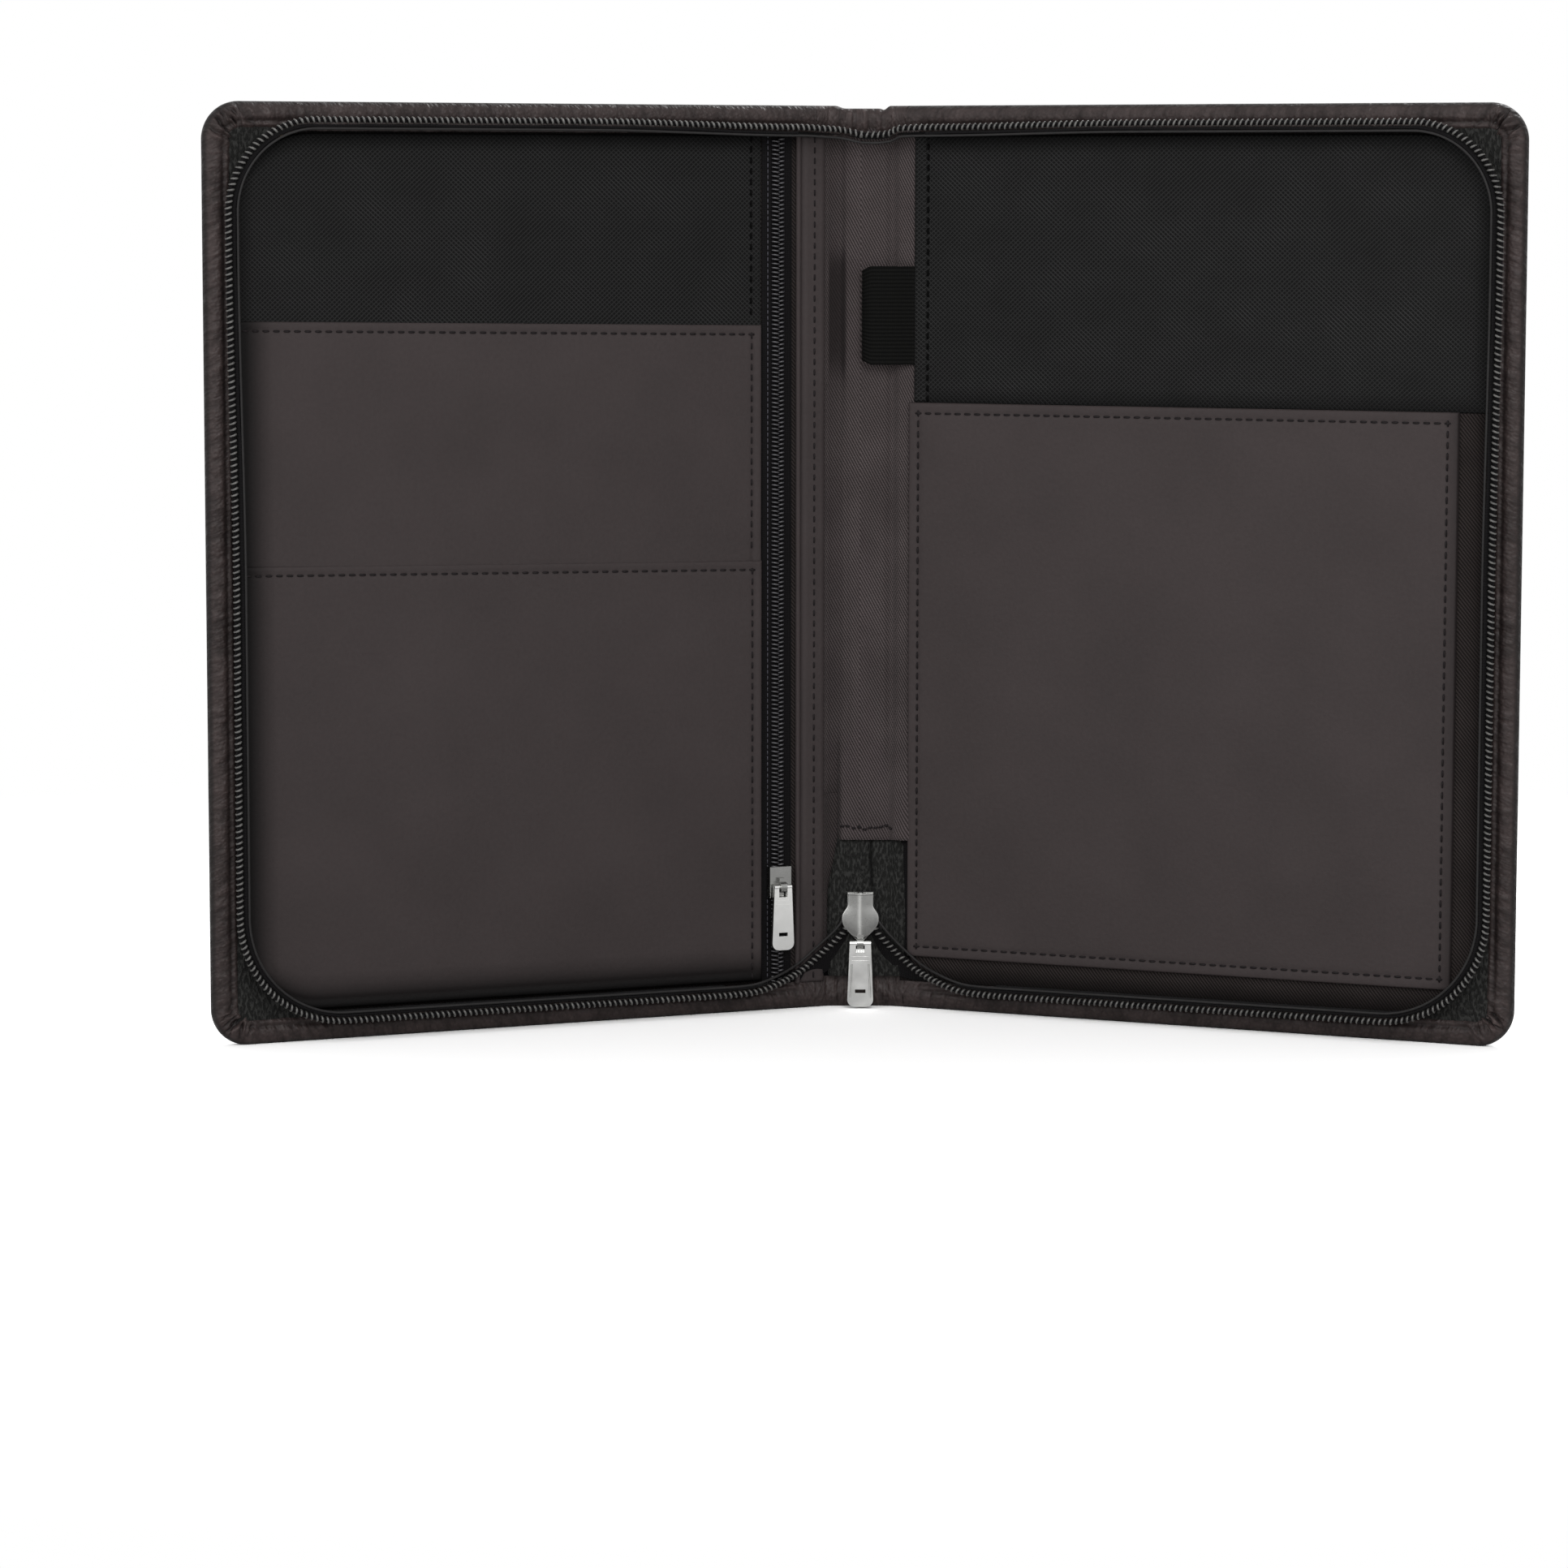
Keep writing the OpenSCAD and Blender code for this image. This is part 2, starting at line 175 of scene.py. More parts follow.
def curve(points, step):
    """A smooth line through a few points, sampled evenly."""
    p = np.asarray(points, float)
    ends = np.vstack([2 * p[0] - p[1], p, 2 * p[-1] - p[-2]])
    t = np.linspace(0, 1, 24, endpoint=False)[:, None]
    parts = []
    for a, b, c, d in zip(ends, ends[1:], ends[2:], ends[3:]):
        square = (2 * a - 5 * b + 4 * c - d) * t ** 2 / 2
        cube = (3 * b - a - 3 * c + d) * t ** 3 / 2
        parts.append(b + (c - a) * t / 2 + square + cube)
    return resample(np.vstack(parts + [p[-1:]]), step)


def graded(length, border, fine, coarse):
    """Places from 0 to length, close together near both ends."""
    near = np.arange(0, border, fine)
    middle = np.linspace(border, length - border, max(2, int((length - 2 * border) / coarse)))
    return np.concatenate([near, middle, length - near[::-1]])


def edge_line(inset, low_radius, high_radius, start, top_start, step):
    """Places (u, v) and outward directions round a cover, from its foot at the hinge to its top there."""
    end = COVER_W - inset
    low_u, low_v = end - low_radius, inset + low_radius
    high_u, high_v = end - high_radius, HEIGHT - inset - high_radius

    def run(a, b):
        return np.linspace(a, b, max(2, int(abs(b - a) / step)), endpoint=False)

    def turn(radius):
        return np.linspace(0, math.pi / 2, max(7, int(radius * math.pi / 2 / step)), endpoint=False)

    places = [(u, inset, 0, -1) for u in run(start, low_u)]
    for a in turn(low_radius):
        c, s = math.cos(a), math.sin(a)
        places.append((low_u + low_radius * s, low_v - low_radius * c, s, -c))
    places += [(end, v, 1, 0) for v in run(low_v, high_v)]
    for a in turn(high_radius):
        c, s = math.cos(a), math.sin(a)
        places.append((high_u + high_radius * c, high_v + high_radius * s, c, s))
    places += [(u, HEIGHT - inset, 0, 1) for u in run(high_u, top_start)]
    places.append((top_start, HEIGHT - inset, 0, 1))
    places = np.array(places, float)
    return places[:, :2], places[:, 2:]


# Mesh helpers.

def add_mesh(name, points, faces, look, uv=None):
    mesh = bpy.data.meshes.new(name)
    mesh.from_pydata((np.asarray(points).reshape(-1, 3) * MM).tolist(), [], np.asarray(faces).tolist())
    if uv is not None:
        corner = np.empty(len(mesh.loops), np.int32)
        mesh.loops.foreach_get("vertex_index", corner)
        flat = np.asarray(uv, np.float32).reshape(-1, 2)[corner]
        mesh.uv_layers.new(name="UVMap").data.foreach_set("uv", flat.ravel())
    mesh.polygons.foreach_set("use_smooth", np.ones(len(mesh.polygons), bool))
    mesh.materials.append(look)
    obj = bpy.data.objects.new(name, mesh)
    bpy.context.scene.collection.objects.link(obj)
    return obj


def grid_faces(rows, cols, wrap=False, closed=False):
    """Quads of a grid; wrap joins its last column to its first, closed its last row to its first."""
    r = np.arange(rows if closed else rows - 1)[:, None]
    c = np.arange(cols if wrap else cols - 1)[None, :]
    r2, c2 = (r + 1) % rows, (c + 1) % cols
    corners = np.broadcast_arrays(r * cols + c, r * cols + c2, r2 * cols + c2, r2 * cols + c)
    return np.stack(corners, axis=-1).reshape(-1, 4)


def many(count, size, faces):
    """The faces of count copies of a small mesh with size points each."""
    return (np.arange(count)[:, None, None] * size + faces[None]).reshape(-1, 4)


def grid(name, points, look, uv):
    rows, cols = points.shape[:2]
    return add_mesh(name, points, grid_faces(rows, cols), look, uv)


def note(obj, name, values):
    """Keeps one number for each point of a mesh, for its material to read."""
    kept = obj.data.attributes.get(name) or obj.data.attributes.new(name, "FLOAT", "POINT")
    kept.data.foreach_set("value", np.ravel(values).astype(np.float32))


def note_painted_light(obj, values):
    """Keeps on a mesh how much painted light each of its points gets: none, which is full painted shade, in a
    fold or against a wall.
    """
    note(obj, PAINTED_LIGHT, values)


def tube(line, front, radius, sides=8):
    """Points and faces of a round cord along a line."""
    along = unit(np.gradient(line, axis=0))
    across = unit(np.cross(along, front))
    lift = np.cross(across, along)
    a = np.linspace(0, 2 * math.pi, sides, endpoint=False)[None, :, None]
    points = line[:, None] + radius * (np.cos(a) * across[:, None] + np.sin(a) * lift[:, None])
    return points.reshape(-1, 3), grid_faces(len(line), sides, wrap=True)


def join(parts):
    """One set of points and faces from several."""
    points, faces, base = [], [], 0
    for p, f in parts:
        points.append(p)
        faces.append(f + base)
        base += len(p)
    return np.vstack(points), np.vstack(faces)


def stitches(line, front, pitch, length, radius):
    """A row of thread stitches lying on a line, each dipping into the cloth at both ends."""
    both = resample(np.hstack([line, front]), pitch)
    centre, lift = both[:, :3], unit(both[:, 3:])
    along = unit(np.gradient(centre, axis=0))
    across = unit(np.cross(along, lift))
    spread = np.array([-0.5, -0.36, 0.0, 0.36, 0.5]) * length
    thick = np.array([0.35, 0.9, 1.0, 0.9, 0.35]) * radius
    sink = np.array([-1.1, -0.1, 0.15, -0.1, -1.1]) * radius
    a = np.linspace(0, 2 * math.pi, 6, endpoint=False)
    spine = centre[:, None] + along[:, None] * spread[:, None] + lift[:, None] * sink[:, None]
    ring = np.cos(a)[:, None, None] * across + np.sin(a)[:, None, None] * lift
    ring = np.moveaxis(ring, 0, 1)
    points = spine[:, :, None] + thick[:, None, None] * ring[:, None]
    size = len(spread) * len(a)
    return points.reshape(-1, 3), many(len(centre), size, grid_faces(len(spread), len(a), wrap=True))


COIL_SEGMENTS = 12
COIL_SIDES = 6


def coil_turns(centre, outward, front, half_wide, half_deep, wire, slant):
    """Turns of a zip's coil, each a slanted ring round the tape's edge with a thicker head in front."""
    along = unit(np.cross(outward, front))
    a = np.linspace(0, 2 * math.pi, COIL_SEGMENTS, endpoint=False)
    b = np.linspace(0, 2 * math.pi, COIL_SIDES, endpoint=False)
    ca, sa = np.cos(a)[None, :, None], np.sin(a)[None, :, None]
    o, f, t = outward[:, None], front[:, None], along[:, None]
    radial = ca * o + sa * f
    spine = centre[:, None] + half_wide * ca * o + half_deep * sa * f + slant * ca * t
    thick = wire * (0.85 + 0.5 * np.maximum(sa, 0) ** 2 * (1 - 0.5 * ca))
    cb, sb = np.cos(b)[None, None, :, None], np.sin(b)[None, None, :, None]
    points = spine[:, :, None] + thick[:, :, None] * (cb * radial[:, :, None] + sb * t[:, :, None])
    size = COIL_SEGMENTS * COIL_SIDES
    faces = grid_faces(COIL_SEGMENTS, COIL_SIDES, wrap=True, closed=True)
    return points.reshape(-1, 3), many(len(centre), size, faces)


# How a piece is carried.

def label(obj, nodes):
    """Hides the CAD nodes that a piece stands for."""
    if nodes:
        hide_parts(*nodes)
    return obj


def settle(obj, body, slot, *nodes):
    """A piece that moves stiffly with one body."""
    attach(obj, body)
    return label(obj, nodes)


def bridge(obj, side, slot, *nodes, low=BEND_START, high=BEND_START + BEND_RUN, h=0.0):
    """A soft piece, fixed where it is placed, that hides the CAD nodes it stands for; low, high and h are not
    used.
    """
    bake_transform(obj)
    return label(obj, nodes)


# Materials.

def srgb(r, g, b):
    def linear(c):
        c /= 255
        return c / 12.92 if c <= 0.04045 else ((c + 0.055) / 1.055) ** 2.4
    return (linear(r), linear(g), linear(b), 1.0)


WHITE = (1, 1, 1, 1)

# Pitch of the wave texture's bands at a scale of 1.
WAVE_PITCH = 2 * math.pi / 20


class Nodes:
    """The node tree of a material or a world."""

    def __init__(self, owner):
        owner.use_nodes = True
        self.tree = owner.node_tree

    def add(self, kind, inputs=None, **props):
        node = self.tree.nodes.new("ShaderNode" + kind)
        for key, value in props.items():
            setattr(node, key, value)
        for key, value in (inputs or {}).items():
            self.put(node.inputs[key], value)
        return node

    def put(self, socket, value):
        if isinstance(value, bpy.types.NodeSocket):
            self.tree.links.new(value, socket)
        else:
            socket.default_value = value

    def maths(self, operation, a, b):
        return self.add("Math", {0: a, 1: b}, operation=operation).outputs[0]

    def times(self, a, b):
        return self.maths("MULTIPLY", a, b)

    def total(self, a, b):
        return self.maths("ADD", a, b)


class Look(Nodes):
    """A Principled material with a few added nodes."""

    def __init__(self, name, colour, rough, **sockets):
        self.material = bpy.data.materials.new(name)
        super().__init__(self.material)
        self.bsdf = self.tree.nodes["Principled BSDF"]
        self.bsdf.inputs["Base Color"].default_value = colour
        self.bsdf.inputs["Roughness"].default_value = rough
        self.colour = colour
        for key, value in sockets.items():
            self.bsdf.inputs[key.replace("_", " ")].default_value = value
        self.material.diffuse_color = colour

    def mapped(self, coords, scale, turn=0.0):
        inputs = {"Vector": coords, "Scale": scale, "Rotation": (0, 0, math.radians(turn))}
        return self.add("Mapping", inputs).outputs["Vector"]

    def coords(self, kind, turn=0.0):
        """Texture coordinates in millimetres: UV maps hold millimetres, object places hold metres."""
        size = 1 if kind == "UV" else 1 / MM
        return self.mapped(self.add("TexCoord").outputs[kind], (size,) * 3, turn)

    def cells(self, coords, size, smoothness):
        """Rounded cells of a given size, like the pebbles of leather."""
        inputs = {"Vector": coords, "Scale": 1 / size, "Smoothness": smoothness}
        return self.add("TexVoronoi", inputs, feature="SMOOTH_F1").outputs["Distance"]

    def noise(self, coords, scale, detail=3.0):
        """Noise stretched over the whole range from 0 to 1."""
        fac = self.add("TexNoise", {"Vector": coords, "Scale": scale, "Detail": detail}).outputs["Fac"]
        return self.spread(fac, 0.0, 1.0, 0.3, 0.7)

    def lines(self, pitch, turn, wobble):
        """Parallel ridges of a given pitch, turned by some degrees."""
        inputs = {"Vector": self.coords("UV", turn), "Scale": WAVE_PITCH / pitch, "Distortion": wobble,
                  "Detail": 1.0}
        return self.add("TexWave", inputs, wave_type="BANDS", bands_direction="X").outputs["Fac"]

    def spread(self, fac, low, high, start=0.0, end=1.0):
        """Values from start to end of fac, laid out from low to high."""
        inputs = {"Value": fac, "From Min": start, "From Max": end, "To Min": low, "To Max": high}
        return self.add("MapRange", inputs).outputs["Result"]

    def lit(self, least, full):
        """A factor for painted shade: it goes from least where a mesh notes no painted light to 1 where it
        notes full painted light.
        """
        noted = self.add("Attribute", attribute_name=PAINTED_LIGHT).outputs["Fac"]
        return self.spread(noted, least, 1.0, 0.0, full)

    def shade(self, fac, low, high):
        """Colour that goes from low to high times the base colour."""
        ramp = self.add("ValToRGB", {"Fac": fac})
        for stop, level in zip(ramp.color_ramp.elements, (low, high)):
            stop.color = tuple(c * level for c in self.colour[:3]) + (1.0,)
        self.put(self.bsdf.inputs["Base Color"], ramp.outputs["Color"])

    def rough(self, fac, low, high):
        self.put(self.bsdf.inputs["Roughness"], self.spread(fac, low, high))

    def bump(self, height, depth):
        """Relief depth millimetres deep."""
        node = self.add("Bump", {"Height": height, "Strength": 1.0, "Distance": depth * MM})
        under = self.bsdf.inputs["Normal"].links
        if under:
            self.put(node.inputs["Normal"], under[0].from_socket)
        self.put(self.bsdf.inputs["Normal"], node.outputs["Normal"])


def leather_look(name, colour, rough, pebble, depth, vary, gloss, grain, least=None):
    """Pebbled leather; where least is given, painted shade darkens it to that share of its colour where the
    mesh notes no painted light.
    """
    look = Look(name, colour, rough, Specular_IOR_Level=gloss)
    place_mm = look.coords("UV")
    fine = look.noise(place_mm, grain, 4.0)
    broad = look.noise(place_mm, 0.035)
    mix = look.total(look.times(fine, 0.4), look.times(broad, 0.6))
    if least is None:
        look.shade(mix, 1 - vary, 1 + vary)
    else:
        # Painted shade: darker where the mesh notes little painted light.
        mix = look.spread(mix, (1 - vary) / (1 + vary), 1.0)
        look.shade(look.times(mix, look.lit(least, 1.0)), 0.0, 1 + vary)
    look.rough(broad, rough - 0.03, rough + 0.03)
    look.bump(look.cells(place_mm, pebble, 0.6), depth)
    look.bump(fine, depth * 0.7)
    return look.material


def rim_look():
    """Leather turned in over the edge: fine grain and soft creases, with painted shade at the outline and in
    folds and painted highlights on fold crests.
    """
    look = Look("leather_rim", srgb(53, 45, 44), 0.5, Specular_IOR_Level=0.18)
    place_mm = look.coords("UV")
    grain = look.spread(look.cells(place_mm, 1.0, 0.4), 1.0, 0.0, 0.0, 0.7)
    creases = look.noise(look.mapped(look.coords("UV", 20), (0.5, 0.15, 1.0)), 1.0, 2.0)
    broad = look.noise(place_mm, 0.07, 2.0)
    tone = look.total(look.spread(broad, 0.0, 0.4), look.spread(creases, 0.0, 0.35))
    tone = look.total(tone, look.spread(grain, 0.0, 0.25))
    tone = look.spread(tone, 0.3, 1.0, 0.2, 0.8)
    # Painted shade at the outline and in folds, painted highlights on fold crests.
    look.shade(look.times(tone, look.lit(0.0, 1.3)), 0.2, 1.85)
    look.rough(creases, 0.6, 0.38)
    look.bump(creases, 0.3)
    look.bump(grain, 0.12)
    return look.material


HATCH_PITCH = 0.92
HATCH_TURN = 48


def saffiano_look():
    """Black sheet pressed with fine lines along both diagonals, stronger in some patches than in others, with
    painted shade near the zip's wall.
    """
    look = Look("saffiano_black", srgb(27, 27, 27), 0.55, Specular_IOR_Level=0.07)
    patchy = look.noise(look.coords("UV"), 0.05)
    falling = look.times(look.lines(HATCH_PITCH, -HATCH_TURN, 0.6), look.spread(patchy, 0.75, 1.0))
    rising = look.times(look.lines(HATCH_PITCH, HATCH_TURN, 0.6), look.spread(patchy, 1.0, 0.75))
    ridge = look.spread(look.maths("MAXIMUM", falling, rising), 0.0, 1.0, 0.5, 1.0)
    tone = look.spread(look.times(ridge, look.spread(patchy, 0.55, 1.0)), 0.12, 1.0)
    # Painted shade: darker near the zip's wall.
    look.shade(look.times(tone, look.lit(0.25, 5.0)), 0.1, 2.65)
    look.rough(ridge, 0.62, 0.48)
    look.bump(ridge, 0.1)
    return look.material


def twill_look(name, colour, pitch, turn, low, high):
    look = Look(name, colour, 0.85, Sheen_Weight=0.03, Sheen_Roughness=0.5, Specular_IOR_Level=0.04)
    diagonal = look.lines(pitch, turn, 0.4)
    cross = look.lines(pitch * 0.62, turn - 68, 0.8)
    weave = look.total(look.times(diagonal, 0.75), look.times(cross, 0.25))
    broad = look.spread(look.noise(look.coords("UV"), 0.06), 0.8, 1.15)
    # Painted shade: darker near walls, in the lining's folds and beside the pen loop.
    look.shade(look.times(look.times(weave, broad), look.lit(0.05, 5.0)), low, high)
    look.bump(weave, 0.18)
    return look.material


def woven_look(name, colour, pitch):
    look = Look(name, colour, 0.8, Sheen_Weight=0.02, Sheen_Roughness=0.5, Specular_IOR_Level=0.04)
    ribs = look.lines(pitch, 0, 1.0)
    yarn = look.lines(pitch * 0.8, 90, 1.5)
    weave = look.times(look.spread(ribs, 0.45, 1.0), look.spread(yarn, 0.5, 1.0))
    look.shade(weave, 0.5, 1.35)
    look.bump(weave, 0.12)
    return look.material


def tongue_look():
    """Black ribbon with an uneven upright grain and painted shade in its crease."""
    look = Look("zip_tongue_black", srgb(39, 39, 38), 0.8, Specular_IOR_Level=0.08)
    upright = look.mapped(look.coords("UV"), (1.5, 0.6, 1.0))
    grain = look.spread(look.noise(upright, 1.0), 0.0, 1.0, 0.3, 0.7)
    look.shade(look.times(look.spread(grain, 0.25, 1.0), look.lit(0.0, 1.0)), 0.2, 1.55)
    look.bump(grain, 0.3)
    return look.material


RIB_PITCH = 1.05


def elastic_look():
    """Black elastic: ribs across the band, each with its own row of knitted yarn."""
    look = Look("elastic_black", srgb(10, 10, 9), 0.7, Sheen_Weight=0.01, Specular_IOR_Level=0.06)
    ribs = look.lines(RIB_PITCH, 90, 0.1)
    knit = look.lines(0.6, 0, 1.5)
    weave = look.times(look.spread(ribs, 0.25, 1.0), look.spread(knit, 0.6, 1.0))
    look.shade(weave, 0.3, 1.6)
    look.bump(weave, 0.1)
    return look.material


def plain_look(name, colour, rough, vary, grain, **sockets):
    """A small part's finish: its colour varies a little from place to place."""
    look = Look(name, colour, rough, **sockets)
    fac = look.noise(look.coords("Object"), grain)
    look.shade(fac, 1 - vary, 1 + vary)
    look.rough(fac, rough - 0.06, rough + 0.06)
    return look.material


def nickel_look(name, level, rough):
    """Satin nickel with painted highlights where a piece notes them."""
    look = Look(name, srgb(level, level, level - 2), rough, Metallic=1.0)
    cloudy = look.noise(look.coords("Object"), 0.25)
    painted_shine = look.add("Attribute", attribute_name=PAINTED_HIGHLIGHT).outputs["Fac"]
    look.shade(look.total(look.spread(cloudy, 0.0, 0.1), look.spread(painted_shine, 0.0, 0.9)), 0.93, 2.2)
    look.rough(cloudy, rough - 0.04, rough + 0.05)
    look.bump(cloudy, 0.002)
    return look.material


LEATHER = leather_look("leather_outer", srgb(51, 45, 49), rough=0.38, pebble=0.9, depth=0.05, vary=0.07,
                       gloss=0.45, grain=1.9)
RIM = rim_look()
BROWN = leather_look("leatherette_brown", srgb(58, 52, 52), rough=0.62, pebble=0.75, depth=0.03, vary=0.14,
                     gloss=0.12, grain=0.9, least=0.04)
SAFFIANO = saffiano_look()
SPINE_TWILL = twill_look("twill_brown", srgb(66, 60, 60), 0.7, -28, 0.25, 1.9)
DARK_TWILL = twill_look("twill_dark", srgb(39, 35, 34), 0.75, -40, 0.2, 1.9)
TAPE = woven_look("zip_tape_black", srgb(20, 19, 20), 0.7)
TONGUE = tongue_look()
COIL = plain_look("zip_coil_grey", srgb(86, 85, 83), 0.32, 0.35, 0.6, Specular_IOR_Level=0.5)
DARK_COIL = plain_look("zip_coil_dark", srgb(62, 61, 64), 0.3, 0.25, 0.6, Specular_IOR_Level=0.6)
EDGE_CORD = plain_look("zip_edge_grey", srgb(35, 34, 34), 0.6, 0.2, 0.8, Specular_IOR_Level=0.2)
SPECKLE = plain_look("zip_stitch_grey", srgb(58, 57, 64), 0.6, 0.3, 0.8)
ELASTIC = elastic_look()
THREAD = plain_look("thread_dark", srgb(24, 20, 21), 0.6, 0.2, 0.9, Specular_IOR_Level=0.15)
BLACK_THREAD = plain_look("thread_black", srgb(5, 5, 5), 0.7, 0.2, 0.9, Specular_IOR_Level=0.05)
NICKEL = nickel_look("nickel_satin", 148, 0.26)
BRIGHT_NICKEL = nickel_look("nickel_bright", 232, 0.2)
FOAM = plain_look("foam_grey", srgb(150, 150, 145), 0.9, 0.1, 0.5)
BOARD = plain_look("board_tan", srgb(150, 130, 100), 0.9, 0.1, 0.3)


# Leather covers: padded outside, rolled edge and turned-in hem.

def edge_distance(u, v):
    """How far a place on a cover lies inside the cover's outline."""
    a = u - (COVER_W - CORNER_R)
    b = np.abs(v - HEIGHT / 2) - (HEIGHT / 2 - CORNER_R)
    return CORNER_R - np.hypot(np.maximum(a, 0), np.maximum(b, 0)) - np.minimum(np.maximum(a, b), 0)


def outer_h(u, v):
    """Height of the padded outside, which is negative because it faces outwards."""
    d = edge_distance(u, v)
    crown = PAD_CROWN * (1 - np.exp(-np.maximum(d - SEAM_INSET, 0) / PAD_RUN))
    groove = SEAM_DEPTH * hump(d, SEAM_INSET, 0.9)
    roll = 0.3 * hump(d, 3.0, 1.7)
    sway = 0.06 * ripple(u * 0.8 + v * 0.35, 2.0, 60) * smooth(d / 20)
    return -(SKIN_OUT + roll + (0.2 + 0.8 * smooth(u / 34)) * crown - groove + sway)


ROLL_START = 2.0
SPINE_HEM_THIN = 0.22
SPINE_FACE_H = -0.86
HEM_LEAST = 2.85
RIM_POINTS = [(ROLL_START, -0.88), (1.0, -0.74), (0.2, -0.1), (-0.15, 1.0), (0.0, 2.2), (0.7, 3.25),
              (1.9, 3.85), (3.4, 4.05), (5.0, 3.8), (6.3, 3.3), (7.1, 2.95), (8.6, HEM_LEAST)]
RIM_PROFILE = curve(RIM_POINTS, 0.4)


def cover_outside(side):
    r = CORNER_R - ROLL_START
    mid = COVER_W - CORNER_R
    rounded = mid + r * np.sin(np.linspace(0, math.pi / 2, 24))
    columns = np.concatenate([np.arange(COVER_START, mid, 2.5), rounded])
    span = HEIGHT - 2 * ROLL_START
    share = graded(span, border=9, fine=0.45, coarse=3.0) / span
    drop = r - np.sqrt(np.maximum(r ** 2 - np.maximum(columns - mid, 0) ** 2, 0))
    low = ROLL_START + drop
    v = low[:, None] + (HEIGHT - 2 * low)[:, None] * share[None]
    u = np.broadcast_to(columns[:, None], v.shape)
    points = place(side, u, v, outer_h(u, v))
    obj = grid(SIDE[side] + "_leather", points, LEATHER, pairs(u, v))
    return settle(obj, BODY[side], "leather", SIDE[side] + "_skin")


FOLD_COUNT = 22
FOLD_REACH = 11.0


def corner_folds(side, line, run, inset):
    """Gathers of the hem at both fore-edge corners: a mitre crease with short, irregular folds beside it."""
    total = np.zeros((len(run), len(inset)))
    for top in (False, True):
        lean = line[:, 0] + (line[:, 1] if top else -line[:, 1])
        along = run - run[np.argmax(lean)]
        pinch = along[:, None] * (1 - 0.6 * np.clip(inset, 0, None)[None] / CORNER_R)
        dice = np.random.default_rng(40 + side + 5 * top)
        crease = pinch - dice.uniform(-1.5, 1.5) + 0.25 * (inset[None] - 4)
        total += 0.7 * hump(crease, -0.9, 0.7) - 1.2 * hump(crease, 0, 0.35)
        for _ in range(FOLD_COUNT):
            spot, tilt = dice.uniform(-FOLD_REACH, FOLD_REACH), dice.uniform(-0.6, 0.6)
            size = dice.choice([-1.0, -0.7, 0.8, 1.2]) * (1 - (spot / FOLD_REACH / 1.2) ** 2)
            depth, thick = dice.uniform(1.5, 5.5), dice.uniform(0.3, 0.65)
            shift = pinch - spot * 0.75 - tilt * (inset[None] - depth)
            total += size * hump(shift, 0, thick) * hump(inset, depth, 1.7)[None]
    return total


def cover_rim(side):
    line, out = edge_line(0.0, CORNER_R, CORNER_R, COVER_START, COVER_START, 0.4)
    run = running(line)
    inset, h = RIM_PROFILE.T
    place_uv = line[:, None] - out[:, None] * inset[None, :, None]
    on_hem = smooth((h - 2.0) / 1.4) * smooth((inset + 0.2) / 1.6) * smooth((8.2 - inset) / 1.2)
    on_hem = on_hem[None] * smooth((line[:, 0] - COVER_START) / 10)[:, None]
    wave = 0.18 * ripple(run, 3.1 + side, 23)[:, None] + 0.1 * ripple(run, 1.3, 5)[:, None]
    ridge = (0.3 * hump(inset, 6.1, 0.55) - 0.45 * hump(inset, 4.9, 0.6))[None]
    folds = corner_folds(side, line, run, inset)
    lowest = np.where(inset > 0.6, HEM_LEAST, -9.0)[None]
    height = np.maximum(h[None] + on_hem * (wave + ridge + folds), np.minimum(h[None], lowest))
    # Painted shade: darker at the rim's outline and in the folds' creases and the groove; painted highlights
    # on fold crests.
    painted_outline_shade = (smooth((h - 0.6) / 2.4) * (0.15 + 0.85 * smooth((inset - 0.15) / 0.9)))[None]
    shade = painted_outline_shade * (1 + 0.9 * on_hem * np.clip(folds, -1, 0.5) + on_hem * np.minimum(ridge, 0))
    start = outer_h(place_uv[:, 0, 0], place_uv[:, 0, 1])
    height = height + (start - h[0])[:, None] * smooth(1 - np.arange(len(h)) / 5)[None]
    points = on_cover(side, place_uv, height)
    obj = grid(SIDE[side] + "_rim", points, RIM, pairs(run[:, None], running(RIM_PROFILE)[None]))
    note_painted_light(obj, shade)
    return settle(obj, BODY[side], "leather", SIDE[side] + "_hem")


def outer_stitches(side):
    line, _ = edge_line(SEAM_INSET, SEAM_R, SEAM_R, COVER_START, COVER_START, 0.8)
    h = outer_h(line[:, 0], line[:, 1])
    thread = stitches(on_cover(side, line, h), -inward(side, len(line)), *OUTER_STITCH)
    return settle(add_mesh(SIDE[side] + "_outer_stitches", *thread, THREAD), BODY[side], "leather")


# Spine: one leather sheet over the outside and both ends, in two halves that bend at the hinges.

def spine_top_drop(x):
    """How far the spine's top edge lies below the covers' tops."""
    return 0.75 * smooth((x + 7.2) / 3.0) * smooth((8.2 - x) / 1.8) + 0.3 * hump(x, 6.3, 0.7)


